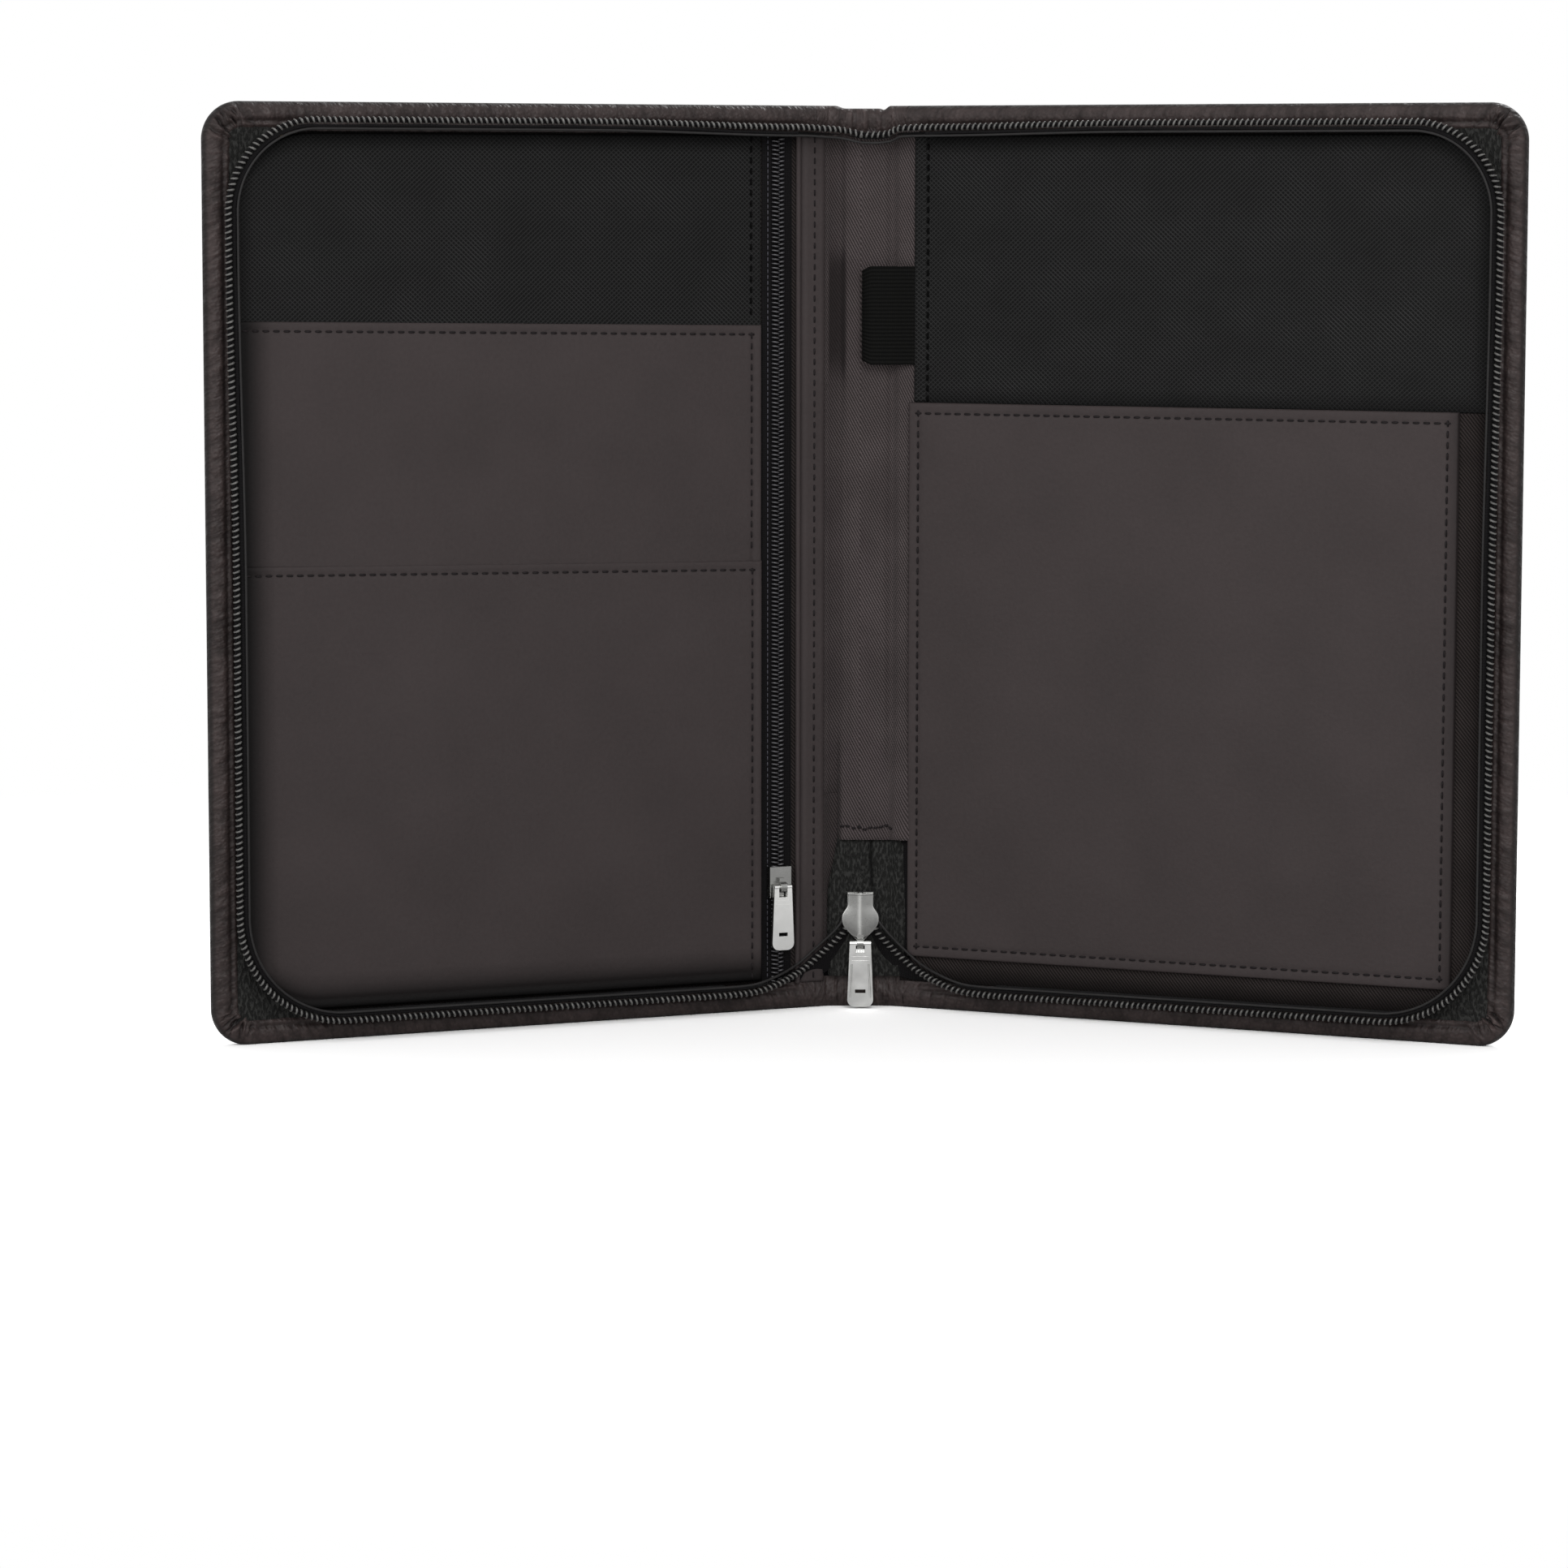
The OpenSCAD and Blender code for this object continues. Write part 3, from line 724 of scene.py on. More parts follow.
def spine_leather(side):
    u = np.concatenate([np.linspace(-SPINE_HALF, 0, 41), np.linspace(0.25, COVER_START + 0.3, 18)])
    x = side * (u + SPINE_HALF)
    inset, rise = RIM_PROFILE.T
    flat = np.linspace(ROLL_START, HEIGHT - ROLL_START, 60)[1:-1]
    on_spine = 1 - smooth((u + 7) / 10)
    crumple = 0.4 * ripple(x, 4.0, 4.2) * on_spine
    columns = []
    for k in range(len(u)):
        h = np.where(rise > 0, rise * (1 - SPINE_HEM_THIN * on_spine[k]), rise)
        h = h + crumple[k] * smooth((rise - 2) / 1.5)
        foot = pairs(inset, h)[::-1]
        head = pairs(HEIGHT - inset - spine_top_drop(x[k]), h)
        columns.append(np.vstack([foot, pairs(flat, SPINE_FACE_H), head]))
    section = np.array(columns)
    outside = np.abs(section[..., 0] - HEIGHT / 2) < HEIGHT / 2 - ROLL_START - 0.2
    blend_out = outside & (section[..., 1] < 0)
    target = outer_h(np.maximum(u, 0)[:, None] + 0 * section[..., 0], section[..., 0])
    padded_h = SPINE_FACE_H + (target - SPINE_FACE_H) * smooth(u / COVER_START)[:, None]
    section[..., 1] = np.where(blend_out, padded_h, section[..., 1])
    points = place(side, u[:, None], section[..., 0], section[..., 1])
    down = running(section[0])
    obj = grid("spine_leather_" + SIDE[side], points, LEATHER, pairs(u[:, None], down[None]))
    # Painted shade in the hollows of the turned-in ends' crumples, painted highlights on their crests.
    note_painted_light(obj, 1 + 1.2 * crumple[:, None] * np.ones(len(down))[None])
    obj.data.materials.append(RIM)
    turned_in = np.ones(len(down) - 1, np.int32)
    turned_in[len(inset) - 1:len(inset) + len(flat)] = 0
    obj.data.polygons.foreach_set("material_index", np.tile(turned_in, len(u) - 1))
    nodes = ("spine_skin", "spine_top_hem", "spine_bottom_hem") if side == LEFT else ()
    return bridge(obj, side, "leather", *nodes)


FLAP_TOP, FLAP_RUN = 86, 36
FLAP_LEFT_X, FLAP_END_U = -6.6, 7.6
FLAP_H = 5.2


def lining_h(side, u, v):
    """Height of the spine's lining: folded on the spine, flat on the cover, proud over the zip's end."""
    x = side * (u + SPINE_HALF)
    folds = 1.3 * smooth((x + 4.6) / 4.2) - 0.7 * hump(x, -5.6, 1.7)
    folds = folds + 0.14 * ripple(x * 3 + v * 0.05, 1.0, 26)
    base = SPINE_LINING_H + folds * smooth((-u - 0.5) / 3)
    h = base + (LINING_H + 0.08 - SPINE_LINING_H) * smooth((u + 2.6) / 5)
    flap = smooth((FLAP_TOP - v) / FLAP_RUN) * smooth((FLAP_END_U - u) / 3.5)
    flap = flap * smooth((x - FLAP_LEFT_X) / 1.6)
    return h + np.maximum(FLAP_H - h, 0) * flap


LINING_END = {LEFT: 2.6, RIGHT: 7.9}
LINING_TOP = HEIGHT - 5
HEM_FOOT, HEM_TOP = 47.2, 51.5
HEM_SEAM = 50.8


def spine_lining(side):
    u = np.linspace(-SPINE_HALF, LINING_END[side], 40)
    v = np.concatenate([np.linspace(HEM_FOOT, 56, 16), np.linspace(58, LINING_TOP, 70)])
    uu, vv = np.meshgrid(u, v, indexing="ij")
    h = lining_h(side, uu, vv)
    x = side * (uu + SPINE_HALF)
    hem = 0.28 * smooth((HEM_TOP - vv) / 1.2) - 0.45 * smooth((HEM_FOOT + 0.7 - vv) / 0.7)
    h = h + hem * smooth((x - FLAP_LEFT_X) / 1.0)
    obj = grid("spine_lining_" + SIDE[side], place(side, uu, vv, h), SPINE_TWILL, pairs(side * uu, vv))
    # Painted shade on the lining: the pen loop's shadow, the fold's dark band and crease line, a low fold on
    # the left and under the top.
    loop_shadow = smooth((vv - 172) / 10) * smooth((214 - vv) / 9)
    fold = smooth((x + 9.4) / 0.8) * smooth((-4.2 - x) / 1.0)
    line = hump(x, -4.5, 0.55) * smooth((vv - 150) / 30)
    low_fold = smooth((70 - vv) / 25) * smooth((-5.4 - x) / 1.2)
    painted_shade = (0.25 + 0.6 * loop_shadow) * fold + (0.35 + 0.65 * loop_shadow) * line + 0.5 * low_fold
    note_painted_light(obj, np.minimum(HEIGHT - 2 - vv, 5 * (1 - np.minimum(painted_shade, 0.97))))
    nodes = ("spine_lining", "lining_flap") if side == LEFT else ()
    return bridge(obj, side, "twill", *nodes)


FOOT_LOW, FOOT_HIGH = 8.3, 60
FOOT_END_U = 6.0
EDGE_START_U, EDGE_FOOT = -5.6, 14
# Painted shade on the lining's left edge, as dark as the fold beside it.
EDGE_PAINTED_LIGHT = 3.0


def lining_foot(side):
    """Black cloth behind the zip's end, below the lining's hem, and on the left the lining's own edge."""
    u = np.linspace(-SPINE_HALF, FOOT_END_U, 24)
    v = np.linspace(FOOT_LOW, FOOT_HIGH, 18)
    uu, vv = np.meshgrid(u, v, indexing="ij")
    h = SPINE_LINING_H - 0.2 - 0.5 * smooth((10 - vv) / 1.5)
    h = h + (LINING_H - SPINE_LINING_H + 0.25) * smooth((uu + 2.6) / 5)
    obj = grid("spine_foot_" + SIDE[side], place(side, uu, vv, h), TAPE, pairs(uu, vv))
    bridge(obj, side, "zip_tape")
    if side == LEFT:
        u = np.linspace(EDGE_START_U, LINING_END[side], 20)
        v = np.linspace(EDGE_FOOT, FOOT_HIGH, 24)
        uu, vv = np.meshgrid(u, v, indexing="ij")
        h = SPINE_LINING_H + 0.15 + (LINING_H - SPINE_LINING_H) * smooth((uu + 3.6) / 5)
        edge = grid("spine_lining_edge", place(side, uu, vv, h), SPINE_TWILL, pairs(side * uu, vv))
        note_painted_light(edge, np.full(uu.shape, EDGE_PAINTED_LIGHT))
        bridge(edge, side, "twill")


HEM_SEAM_END = {LEFT: -5.2, RIGHT: -0.8}


def hem_stitches():
    """A wavering row of stitches just above the lining's lower edge."""
    for side, end in HEM_SEAM_END.items():
        u = np.linspace(-SPINE_HALF, end, 40)
        v = HEM_SEAM + 0.8 * ripple(side * u, 2.0, 9.0)
        line = place(side, u, v, lining_h(side, u, v) + 0.42)
        thread = stitches(line, forward(len(u)), *LINING_STITCH)
        bridge(add_mesh("lining_hem_stitches_" + SIDE[side], *thread, THREAD), side, "twill")


TONGUE_FOOT, TONGUE_TOP = 8.8, 49.5
TONGUE_H = 4.25
TONGUE_EDGE = {LEFT: [(TONGUE_FOOT, -1.2), (22, -0.6), (33, -0.9), (41, -2.8), (TONGUE_TOP, -4.2)],
               RIGHT: [(TONGUE_FOOT, 3.6), (22, 4.6), (35, 4.2), (TONGUE_TOP, 3.6)]}


def tongue(side):
    v = np.linspace(TONGUE_FOOT, TONGUE_TOP, 34)
    edge = np.interp(v, *np.array(TONGUE_EDGE[side]).T)
    share = np.linspace(0, 1, 44)
    u = -SPINE_HALF + (edge + SPINE_HALF)[None] * share[:, None]
    vv = np.broadcast_to(v[None], u.shape)
    x = side * (u + SPINE_HALF)
    crease = 3.4 + 0.25 * np.sin(vv / 4.0)
    slit = hump(x, crease, 0.45) * smooth((vv - 30) / 5)
    h = TONGUE_H - 0.5 * slit + 0.12 * ripple(x * 2 + vv * 0.3, 2.4, 14)
    h = h - 1.0 * smooth((share - 0.9) / 0.1)[:, None] - 0.5 * smooth((vv - 44) / 4)
    obj = grid("zip_tongue_" + SIDE[side], place(side, u, vv, h), TONGUE, pairs(x, vv))
    # Painted shade in the crease.
    note_painted_light(obj, 1 - slit)
    nodes = ("zip_tongue",) if side == LEFT else ()
    return bridge(obj, side, "zip_tape", *nodes, high=5.0)


# Main zip: a tape wall, its coil and its edge cord round each cover.

TOOTH_PITCH = 1.56
TOOTH_HALF_WIDE = 0.8
TOOTH_HALF_DEEP = 0.85
TOOTH_WIRE = 0.26
TOOTH_SLANT = 0.32
CORD_R = 0.34
CORE_R = 0.62
CORE_SINK = 0.25
CORD_INSET, CORD_H = 8.15, 9.45
COIL_INSET = ZIP_INSET - 1.15
ZIP_LOW_R = 28.0
ZIP_BOW = {LEFT: 1.2, RIGHT: 0.9}
ZIP_TOP_START = 12.0
ZIP_LOW_START = 32.0
PATCH_INSET = 6.6
PATCH_H, PATCH_RISE = 3.3, 0.5
WALL_POINTS = [(6.95, 2.75), (7.0, 5.5), (6.95, 8.4), (7.05, 9.3), (7.4, WALL_TOP_H), (7.8, 9.2), (7.85, 6.0),
               (7.95, 2.9)]


def zip_line(side, step):
    """The line at the edge that the zip runs inside of, bowed outwards a little towards the top."""
    line, out = edge_line(0.0, ZIP_LOW_R + ZIP_INSET, ZIP_R + ZIP_INSET, ZIP_LOW_START, ZIP_TOP_START, step)
    bow = ZIP_BOW[side] * smooth((line[:, 1] - 120) / 90) * smooth((line[:, 0] - ZIP_TOP_START) / 60)
    return line + out * bow[:, None], out


def zip_wall(side):
    line, out = zip_line(side, 2.0)
    run = running(line)
    profile = curve(WALL_POINTS, 0.5)
    sway = 0.18 * ripple(run, 5.0 + side, 40)[:, None] * smooth((profile[:, 1] - 3) / 6)[None]
    spot = line[:, None] - out[:, None] * (profile[None, :, 0] + sway)[..., None]
    points = on_cover(side, spot, np.broadcast_to(profile[:, 1], spot.shape[:2]))
    obj = grid(SIDE[side] + "_zip_wall", points, TAPE, pairs(run[:, None], running(profile)[None]))
    return settle(obj, BODY[side], "zip_tape", SIDE[side] + "_zip_tape")


def corner_patches(side):
    """Flat black cloth between the hem's corners and the zip's wider corners."""
    t = np.linspace(-1, 1, 33)
    share = np.linspace(0, 1, 10)
    parts = []
    for top in (False, True):
        r = ZIP_R if top else ZIP_LOW_R
        reach = r + 0.2
        a = (t + 1) * math.pi / 4
        inner = np.stack([COVER_W - ZIP_INSET - r + r * np.sin(a), ZIP_INSET + r - r * np.cos(a)], 1)
        along = np.clip(1 + t, 0, 1) * reach, np.clip(t, 0, 1) * reach
        outer = np.stack([COVER_W - PATCH_INSET - reach + along[0], PATCH_INSET + along[1]], 1)
        spot = outer[:, None] + (inner - outer)[:, None] * share[None, :, None]
        v = HEIGHT - spot[..., 1] if top else spot[..., 1]
        h = PATCH_H + PATCH_RISE * share[None] + 0.1 * np.sin(spot[..., 0] * 1.1 + spot[..., 1] * 0.7)
        parts.append((place(side, spot[..., 0], v, h).reshape(-1, 3), grid_faces(*spot.shape[:2])))
    points, faces = join(parts)
    obj = add_mesh(SIDE[side] + "_zip_patches", points, faces, TONGUE, points[:, [0, 2]])
    note_painted_light(obj, np.ones(len(points)))
    return settle(obj, BODY[side], "zip_tape")


def main_teeth(side, centre, outward, front):
    slant = TOOTH_SLANT * side
    return coil_turns(centre, outward, front, TOOTH_HALF_WIDE, TOOTH_HALF_DEEP, TOOTH_WIRE, slant)


def zip_coil(side):
    line, out = zip_line(side, 0.8)
    both = resample(np.hstack([line - out * COIL_INSET, out]), TOOTH_PITCH)
    spot, out = both[:, :2], unit(both[:, 2:])
    centre = on_cover(side, spot, COIL_H)
    outward = unit(on_cover(side, spot + out, COIL_H) - centre)
    front = inward(side, len(centre))
    coil = add_mesh(SIDE[side] + "_zip_teeth", *main_teeth(side, centre, outward, front), COIL)
    settle(coil, BODY[side], "zip_coil", SIDE[side] + "_zip_coil")
    points, faces = tube(centre - CORE_SINK * front, front, CORE_R)
    settle(add_mesh(SIDE[side] + "_zip_core", points, faces, TAPE, points[:, [0, 2]]), BODY[side], "zip_tape")
    line, out = zip_line(side, 1.5)
    cord = on_cover(side, line - out * CORD_INSET, CORD_H)
    edge = tube(cord, inward(side, len(cord)), CORD_R)
    settle(add_mesh(SIDE[side] + "_zip_edge", *edge, EDGE_CORD), BODY[side], "zip_tape")


def zip_span(side, name, points, base, slot_nodes, low, high):
    """A stretch of the zip between a cover and the spine: coil, edge cord and a tape down to a base line."""
    path = curve(points, TOOTH_PITCH)
    along = unit(np.gradient(path, axis=0))
    front = forward(len(path)) + 0.35 * inward(side, len(path))
    front = unit(front - along * np.sum(front * along, axis=1, keepdims=True))
    outward = unit(np.cross(front, along))
    if outward[len(path) // 2, 2] * (path[0, 2] - HEIGHT / 2) < 0:
        outward = -outward
    turns = main_teeth(side, path, outward, front)
    bend = {"low": low, "high": high, "h": 6.0}
    bridge(add_mesh(name + "_teeth", *turns, COIL), side, "zip_coil", *slot_nodes[:1], **bend)
    core = tube(path - CORE_SINK * front, front, CORE_R)
    bridge(add_mesh(name + "_core", *core, TAPE, core[0][:, [0, 2]]), side, "zip_tape", **bend)
    edge = path - outward * 2.25 + front * 0.75
    bridge(add_mesh(name + "_edge", *tube(edge, front, CORD_R), EDGE_CORD), side, "zip_tape", **bend)
    ground = curve(base, 1.0)
    foot = resample(ground, running(ground)[-1] / (len(path) - 1))[:len(path)]
    head = path - outward * 1.2 + front * 0.4
    share = np.linspace(0, 1, 12)[None, :, None]
    sheet = foot[:, None] + (head - foot)[:, None] * share
    obj = grid(name + "_tape", sheet, TAPE, pairs(running(path)[:, None], 8 * share[..., 0]))
    return bridge(obj, side, "zip_tape", *slot_nodes[1:], **bend)


# The zip's end at each cover's foot: its coil on the cover, its coil at the slider and its tape's base.
SLIDER_X = 0.3
RISE_ON = [(ZIP_LOW_START, COIL_INSET, COIL_H), (24, 6.3, COIL_H), (17.0, 8.0, 7.6), (9.0, 10.9, 5.2),
           (3.3, 15.0, 4.9)]
RISE_NEAR = [(5.4, -5.6, 20.6), (2.4, -4.4, 24.6)]
RISE_BASE = [(ZIP_LOW_START, 7.4, 2.9), (17, 7.6, 3.2), (4, 8.5, 3.4), (-3, 12, 3.6), (-7, 18, 3.8)]


def zip_rise(side):
    """The zip's end, lifting from the foot of a cover to the slider."""
    on = [place(side, *spot) for spot in RISE_ON]
    near = [np.array([SLIDER_X + side * x, y, z]) for x, y, z in RISE_NEAR]
    base = [place(side, *spot) for spot in RISE_BASE]
    return zip_span(side, "zip_rise_" + SIDE[side], on + near, base, (), low=-6.5, high=6.0)


# The zip across the spine's top: its coil on each cover, its coil on the spine and its tape's base.
CROSS_V = HEIGHT - COIL_INSET
CROSS_BASE_V = 242.2
CROSS_ON = [(ZIP_TOP_START, CROSS_V), (8.0, CROSS_V - 0.1), (3.5, CROSS_V - 0.35)]
CROSS_NEAR = {LEFT: [(5.0, -6.9, 243.4), (0.0, -6.4, 242.3)],
              RIGHT: [(8.0, -8.0, 242.7), (4.2, -6.8, 242.2), (0.0, -6.4, 242.3)]}
CROSS_BASE = [(ZIP_TOP_START, 3.0), (4.0, 3.0), (-2.0, 1.6), (-SPINE_HALF, 1.5)]


def zip_crossing(side):
    """The zip crossing the spine at the top."""
    on = [place(side, u, v, COIL_H) for u, v in CROSS_ON]
    near = [np.array([side * x, y, z]) for x, y, z in CROSS_NEAR[side]]
    base = [place(side, u, CROSS_BASE_V, h) for u, h in CROSS_BASE]
    nodes = ("spine_zip_coil", "spine_zip_tape") if side == LEFT else ()
    return zip_span(side, "zip_crossing_" + SIDE[side], on + near, base, nodes, low=-8.5, high=5.0)


# Inner sheets: linings, panels, pockets and strips.

# How far the zip's wall's painted shade reaches on a pocket, a distance beyond that, a sheet's border and a
# strip's width.
WALL_SHADE = 9.5
FAR = 99.0
BORDER = np.concatenate([[0, 0.12, 0.3], np.arange(0.6, 6.1, 0.6)])
NARROW = 14.0


def bordered(length, margin):
    """Places from 0 to length, close together along both borders and wide apart between the margins."""
    middle = np.linspace(margin, length - margin, max(2, int((length - 2 * margin) / 3.0)))
    return np.concatenate([BORDER, middle, length - BORDER[::-1]])


def patch(name, side, u0, u1, low, high, base, top, look, edge=0.5, puff=0.0, seam=None, gaps=None):
    """A sewn sheet on a cover. low and high give its foot and top for each u; its edges turn down to base.

    gaps says how far its fore-edge and its foot are from the zip's wall, whose shade is painted onto it.
    Without gaps the fore-edge, foot and top all count as lying against a wall, for the painted shade.
    """
    wide = u1 - u0
    columns = u0 + (bordered(wide, 6.1) if wide > NARROW else np.linspace(0, wide, 9))
    lo, hi = low(columns), high(columns)
    tall = np.max(hi - lo)
    rows = bordered(tall, 6.6) / tall
    v = lo[:, None] + (hi - lo)[:, None] * rows[None]
    u = np.broadcast_to(columns[:, None], v.shape)
    fore, foot, head = u1 - u, v - lo[:, None], hi[:, None] - v
    d = np.minimum.reduce([u - u0, fore, foot, head])
    roll = np.sqrt(1 - (1 - np.clip(d / edge, 0, 1)) ** 2)
    h = base + (top - base) * roll + puff * smooth(d / 30)
    h = h + 0.03 * ripple(u + v * 0.6, u0, 47) * smooth(d / 15)
    if seam:
        h = h - 0.25 * hump(d, seam, 0.6)
    obj = grid(name, place(side, u, v, h), look, pairs(side * u, v))
    # Painted shade: the sheet darkens towards the zip's wall.
    if gaps:
        away = np.minimum(fore + gaps[0], foot + gaps[1])
        note_painted_light(obj, smooth((away - 0.5) / WALL_SHADE))
    else:
        note_painted_light(obj, np.minimum.reduce([fore, foot, head]))
    return obj


def declare(obj, u0, u1, low, high, *under):
    """Works out the flat size that a patch was cut to and keeps it nowhere; the patch itself is not used."""
    u = np.linspace(u0, u1, 400)
    tall = high(u) - low(u)
    flat = ((u1 - u0) * MM, float(np.max(high(u)) - np.min(low(u))) * MM)


def corner_top(inset, radius):
    """Top edge of a sheet that follows the zip round the upper corner."""
    mid_u = COVER_W - inset - radius
    mid_v = HEIGHT - inset - radius
    return lambda u: mid_v + np.sqrt(np.maximum(radius ** 2 - np.maximum(u - mid_u, 0) ** 2, 0))


def corner_foot(inset, radius):
    upper = corner_top(inset, radius)
    return lambda u: HEIGHT - upper(u)


def level(value):
    return lambda u: np.full(np.shape(u), float(value))


def slanted(mid_value, start, slope):
    """An edge that rises towards the fore-edge."""
    return lambda u: mid_value + (u - (start + COVER_W) / 2) * slope


def row(name, side, points, h, stitch, look, slot):
    """A row of stitches on a cover through the given (u, v) corners."""
    line = resample(np.array(points, float), 1.0)
    thread = stitches(on_cover(side, line, h), inward(side, len(line)), *stitch)
    return settle(add_mesh(name, *thread, look), BODY[side], slot)


def pocket_row(name, side, points, h):
    return row(name, side, points, h, POCKET_STITCH, THREAD, "leatherette")


def panel_row(name, side, u, low, high):
    return row(name, side, [(u, low), (u, high)], PANEL_H + 0.1, PANEL_STITCH, BLACK_THREAD, "saffiano")


LEFT_EDGE_U = 20.5
FORE_U = COVER_W - ZIP_INSET - 1.3
SLANT = math.tan(math.radians(0.9))


def sewn_sheet(name, side, u0, u1, low, high, base, top, look, slot, node, under, **more):
    """A patch that is a whole sheet: carried by its cover and standing for one CAD node."""
    obj = patch(name, side, u0, u1, low, high, base, top, look, **more)
    declare(obj, u0, u1, low, high, under)
    return settle(obj, BODY[side], slot, node)


LINING_U = (2.7, COVER_W - 7.3)
LINING_CORNER = (7.5, 21.5)


def cover_lining(side):
    name = SIDE[side] + "_lining"
    sewn_sheet(name + "_cloth", side, *LINING_U, corner_foot(*LINING_CORNER), corner_top(*LINING_CORNER),
               LINING_H - 0.2, LINING_H, DARK_TWILL, "twill", name, SIDE[side] + "_board", edge=0.3)


PANEL_TOP = corner_top(8.0, 21.0)
LEFT_PANEL_FOOT = 178
LEFT_PANEL_ROW = (194, 241)
LEFT_SEAM = 2.6
LEFT_SEAM_U = LEFT_EDGE_U + 3.1
POCKET_FORE_U = FORE_U - 0.3
UPPER_FOOT = 100
UPPER_ROW_FOOT = 130
UPPER_TOP = slanted(191.6, LEFT_EDGE_U, SLANT)
LOWER_FOOT = corner_foot(8.6, 20.4)
LOWER_ROW_FOOT = 10
LOWER_TOP = slanted(127.0, LEFT_EDGE_U, SLANT)


def left_sheets():
    sewn_sheet("left_panel_cloth", LEFT, LEFT_EDGE_U, FORE_U, level(LEFT_PANEL_FOOT), PANEL_TOP,
               LINING_H, PANEL_H, SAFFIANO, "saffiano", "left_panel", "left_lining_cloth")
    sewn_sheet("left_pocket_upper", LEFT, LEFT_EDGE_U, POCKET_FORE_U, level(UPPER_FOOT), UPPER_TOP,
               LINING_H, UPPER_POCKET_H, BROWN, "leatherette", "left_upper_pocket", "left_panel_cloth",
               puff=0.25, seam=LEFT_SEAM, gaps=(0.0, FAR))
    sewn_sheet("left_pocket_lower", LEFT, LEFT_EDGE_U, POCKET_FORE_U, LOWER_FOOT, LOWER_TOP,
               LINING_H, LOWER_POCKET_H, BROWN, "leatherette", "left_lower_pocket", "left_pocket_upper",
               puff=0.25, seam=LEFT_SEAM, gaps=(0.0, 0.0))
    ends = np.array([LEFT_SEAM_U, FORE_U - 2])
    panel_row("left_panel_stitches", LEFT, LEFT_SEAM_U, *LEFT_PANEL_ROW)
    rows = (("left_upper", UPPER_TOP, UPPER_POCKET_H, UPPER_ROW_FOOT),
            ("left_lower", LOWER_TOP, LOWER_POCKET_H, LOWER_ROW_FOOT))
    for name, edge, h, foot in rows:
        beside = [(LEFT_SEAM_U, foot), (LEFT_SEAM_U, edge(LEFT_SEAM_U) - 3)]
        pocket_row(name + "_top_stitches", LEFT, list(zip(ends, edge(ends) - LEFT_SEAM)), h - 0.02)
        pocket_row(name + "_side_stitches", LEFT, beside, h - 0.02)


FACING_START = 0.9
FACING_END = 8.5
WELT_U = 9.4
FACING_H = 3.95
FACING_SEAM_U = 4.7
WELT_R, WELT_H = 0.75, 3.55
WELT_ROUND = 4.7
WELT_SIDES = 10
STRIP_FOOT, STRIP_TOP = 7.3, HEIGHT - 8.2
TAPE_EDGES = {"inner": (11.2, 15.5), "outer": (15.7, 20.3)}
TAPE_H = 3.65
TAPE_SEAM_U = 18.6


def left_strip(name, u0, u1, top, look, slot, node, **more):
    """A strip of cloth or leather beside the spine, as long as the pocket's zip."""
    obj = patch(name, LEFT, u0, u1, level(STRIP_FOOT), level(STRIP_TOP), LINING_H, top, look, **more)
    return settle(obj, BODY[LEFT], slot, node)


def left_strips():
    left_strip("left_facing_strip", FACING_START, FACING_END, FACING_H, BROWN, "leatherette", "left_facing",
               edge=0.7, gaps=(FAR, FAR))
    ends = [(FACING_SEAM_U, STRIP_FOOT + 2), (FACING_SEAM_U, STRIP_TOP - 1)]
    pocket_row("left_facing_stitches", LEFT, ends, FACING_H + 0.03)
    v = np.linspace(STRIP_FOOT, STRIP_TOP, 60)
    points, faces = tube(place(LEFT, WELT_U, v, WELT_H), inward(LEFT, len(v)), WELT_R, WELT_SIDES)
    uv = pairs(np.linspace(0, WELT_ROUND, WELT_SIDES)[None], v[:, None])
    piping = add_mesh("left_piping", points, faces, BROWN, uv)
    note_painted_light(piping, np.ones(len(points)))
    settle(piping, BODY[LEFT], "leatherette", "left_welt")
    for name, (u0, u1) in TAPE_EDGES.items():
        left_strip("pocket_zip_" + name, u0, u1, TAPE_H, TAPE, "zip_tape", "pocket_tape_" + name, edge=0.4)
    ends = [(TAPE_SEAM_U, STRIP_FOOT + 1), (TAPE_SEAM_U, STRIP_TOP)]
    row("pocket_zip_stitches", LEFT, ends, TAPE_H + 0.01, TAPE_STITCH, SPECKLE, "zip_tape")


# Each row of the pocket's chain: its place beside the middle, half width, shift in pitches and slant.
CHAIN_U = 15.6
CHAIN_H = 4.3
CHAIN_PITCH = 1.19
CHAIN_ROWS = ((0.95, 1.05, 0.0, 0.14), (-0.75, 0.75, 0.5, -0.12))
CHAIN_HALF_DEEP = 0.42
CHAIN_WIRE = 0.21


def pocket_chain():
    """The closed zip of the left pocket: two rows of coil turns that mesh at the middle."""
    v = np.arange(STRIP_FOOT + 1, STRIP_TOP - 0.5, CHAIN_PITCH)
    parts = []
    for offset, wide, shift, slant in CHAIN_ROWS:
        u = CHAIN_U + offset
        centre = place(LEFT, u, v + shift * CHAIN_PITCH, CHAIN_H)
        outward = unit(place(LEFT, u + 1, v, CHAIN_H) - place(LEFT, u, v, CHAIN_H))
        front = inward(LEFT, len(v))
        parts.append(coil_turns(centre, outward, front, wide, CHAIN_HALF_DEEP, CHAIN_WIRE, slant))
    settle(add_mesh("pocket_zip_teeth", *join(parts), DARK_COIL), BODY[LEFT], "zip_coil", "pocket_chain")


RIGHT_POCKET_U = (5.2, 162.3)
RIGHT_POCKET_V = (14.6, 169.0)
RIGHT_SEAM = 3.0
RIGHT_PANEL_U, RIGHT_PANEL_FOOT = 7.0, 168.7
RIGHT_STRIP_U, RIGHT_STRIP_FOOT = (6.6, 10.3), 169.2
RIGHT_STRIP_H = 4.05
# The right strip gets full painted light, so no painted shade.
RIGHT_STRIP_PAINTED_LIGHT = 9.0
RIGHT_ROW_U, RIGHT_ROW_FOOT = 10.7, 170


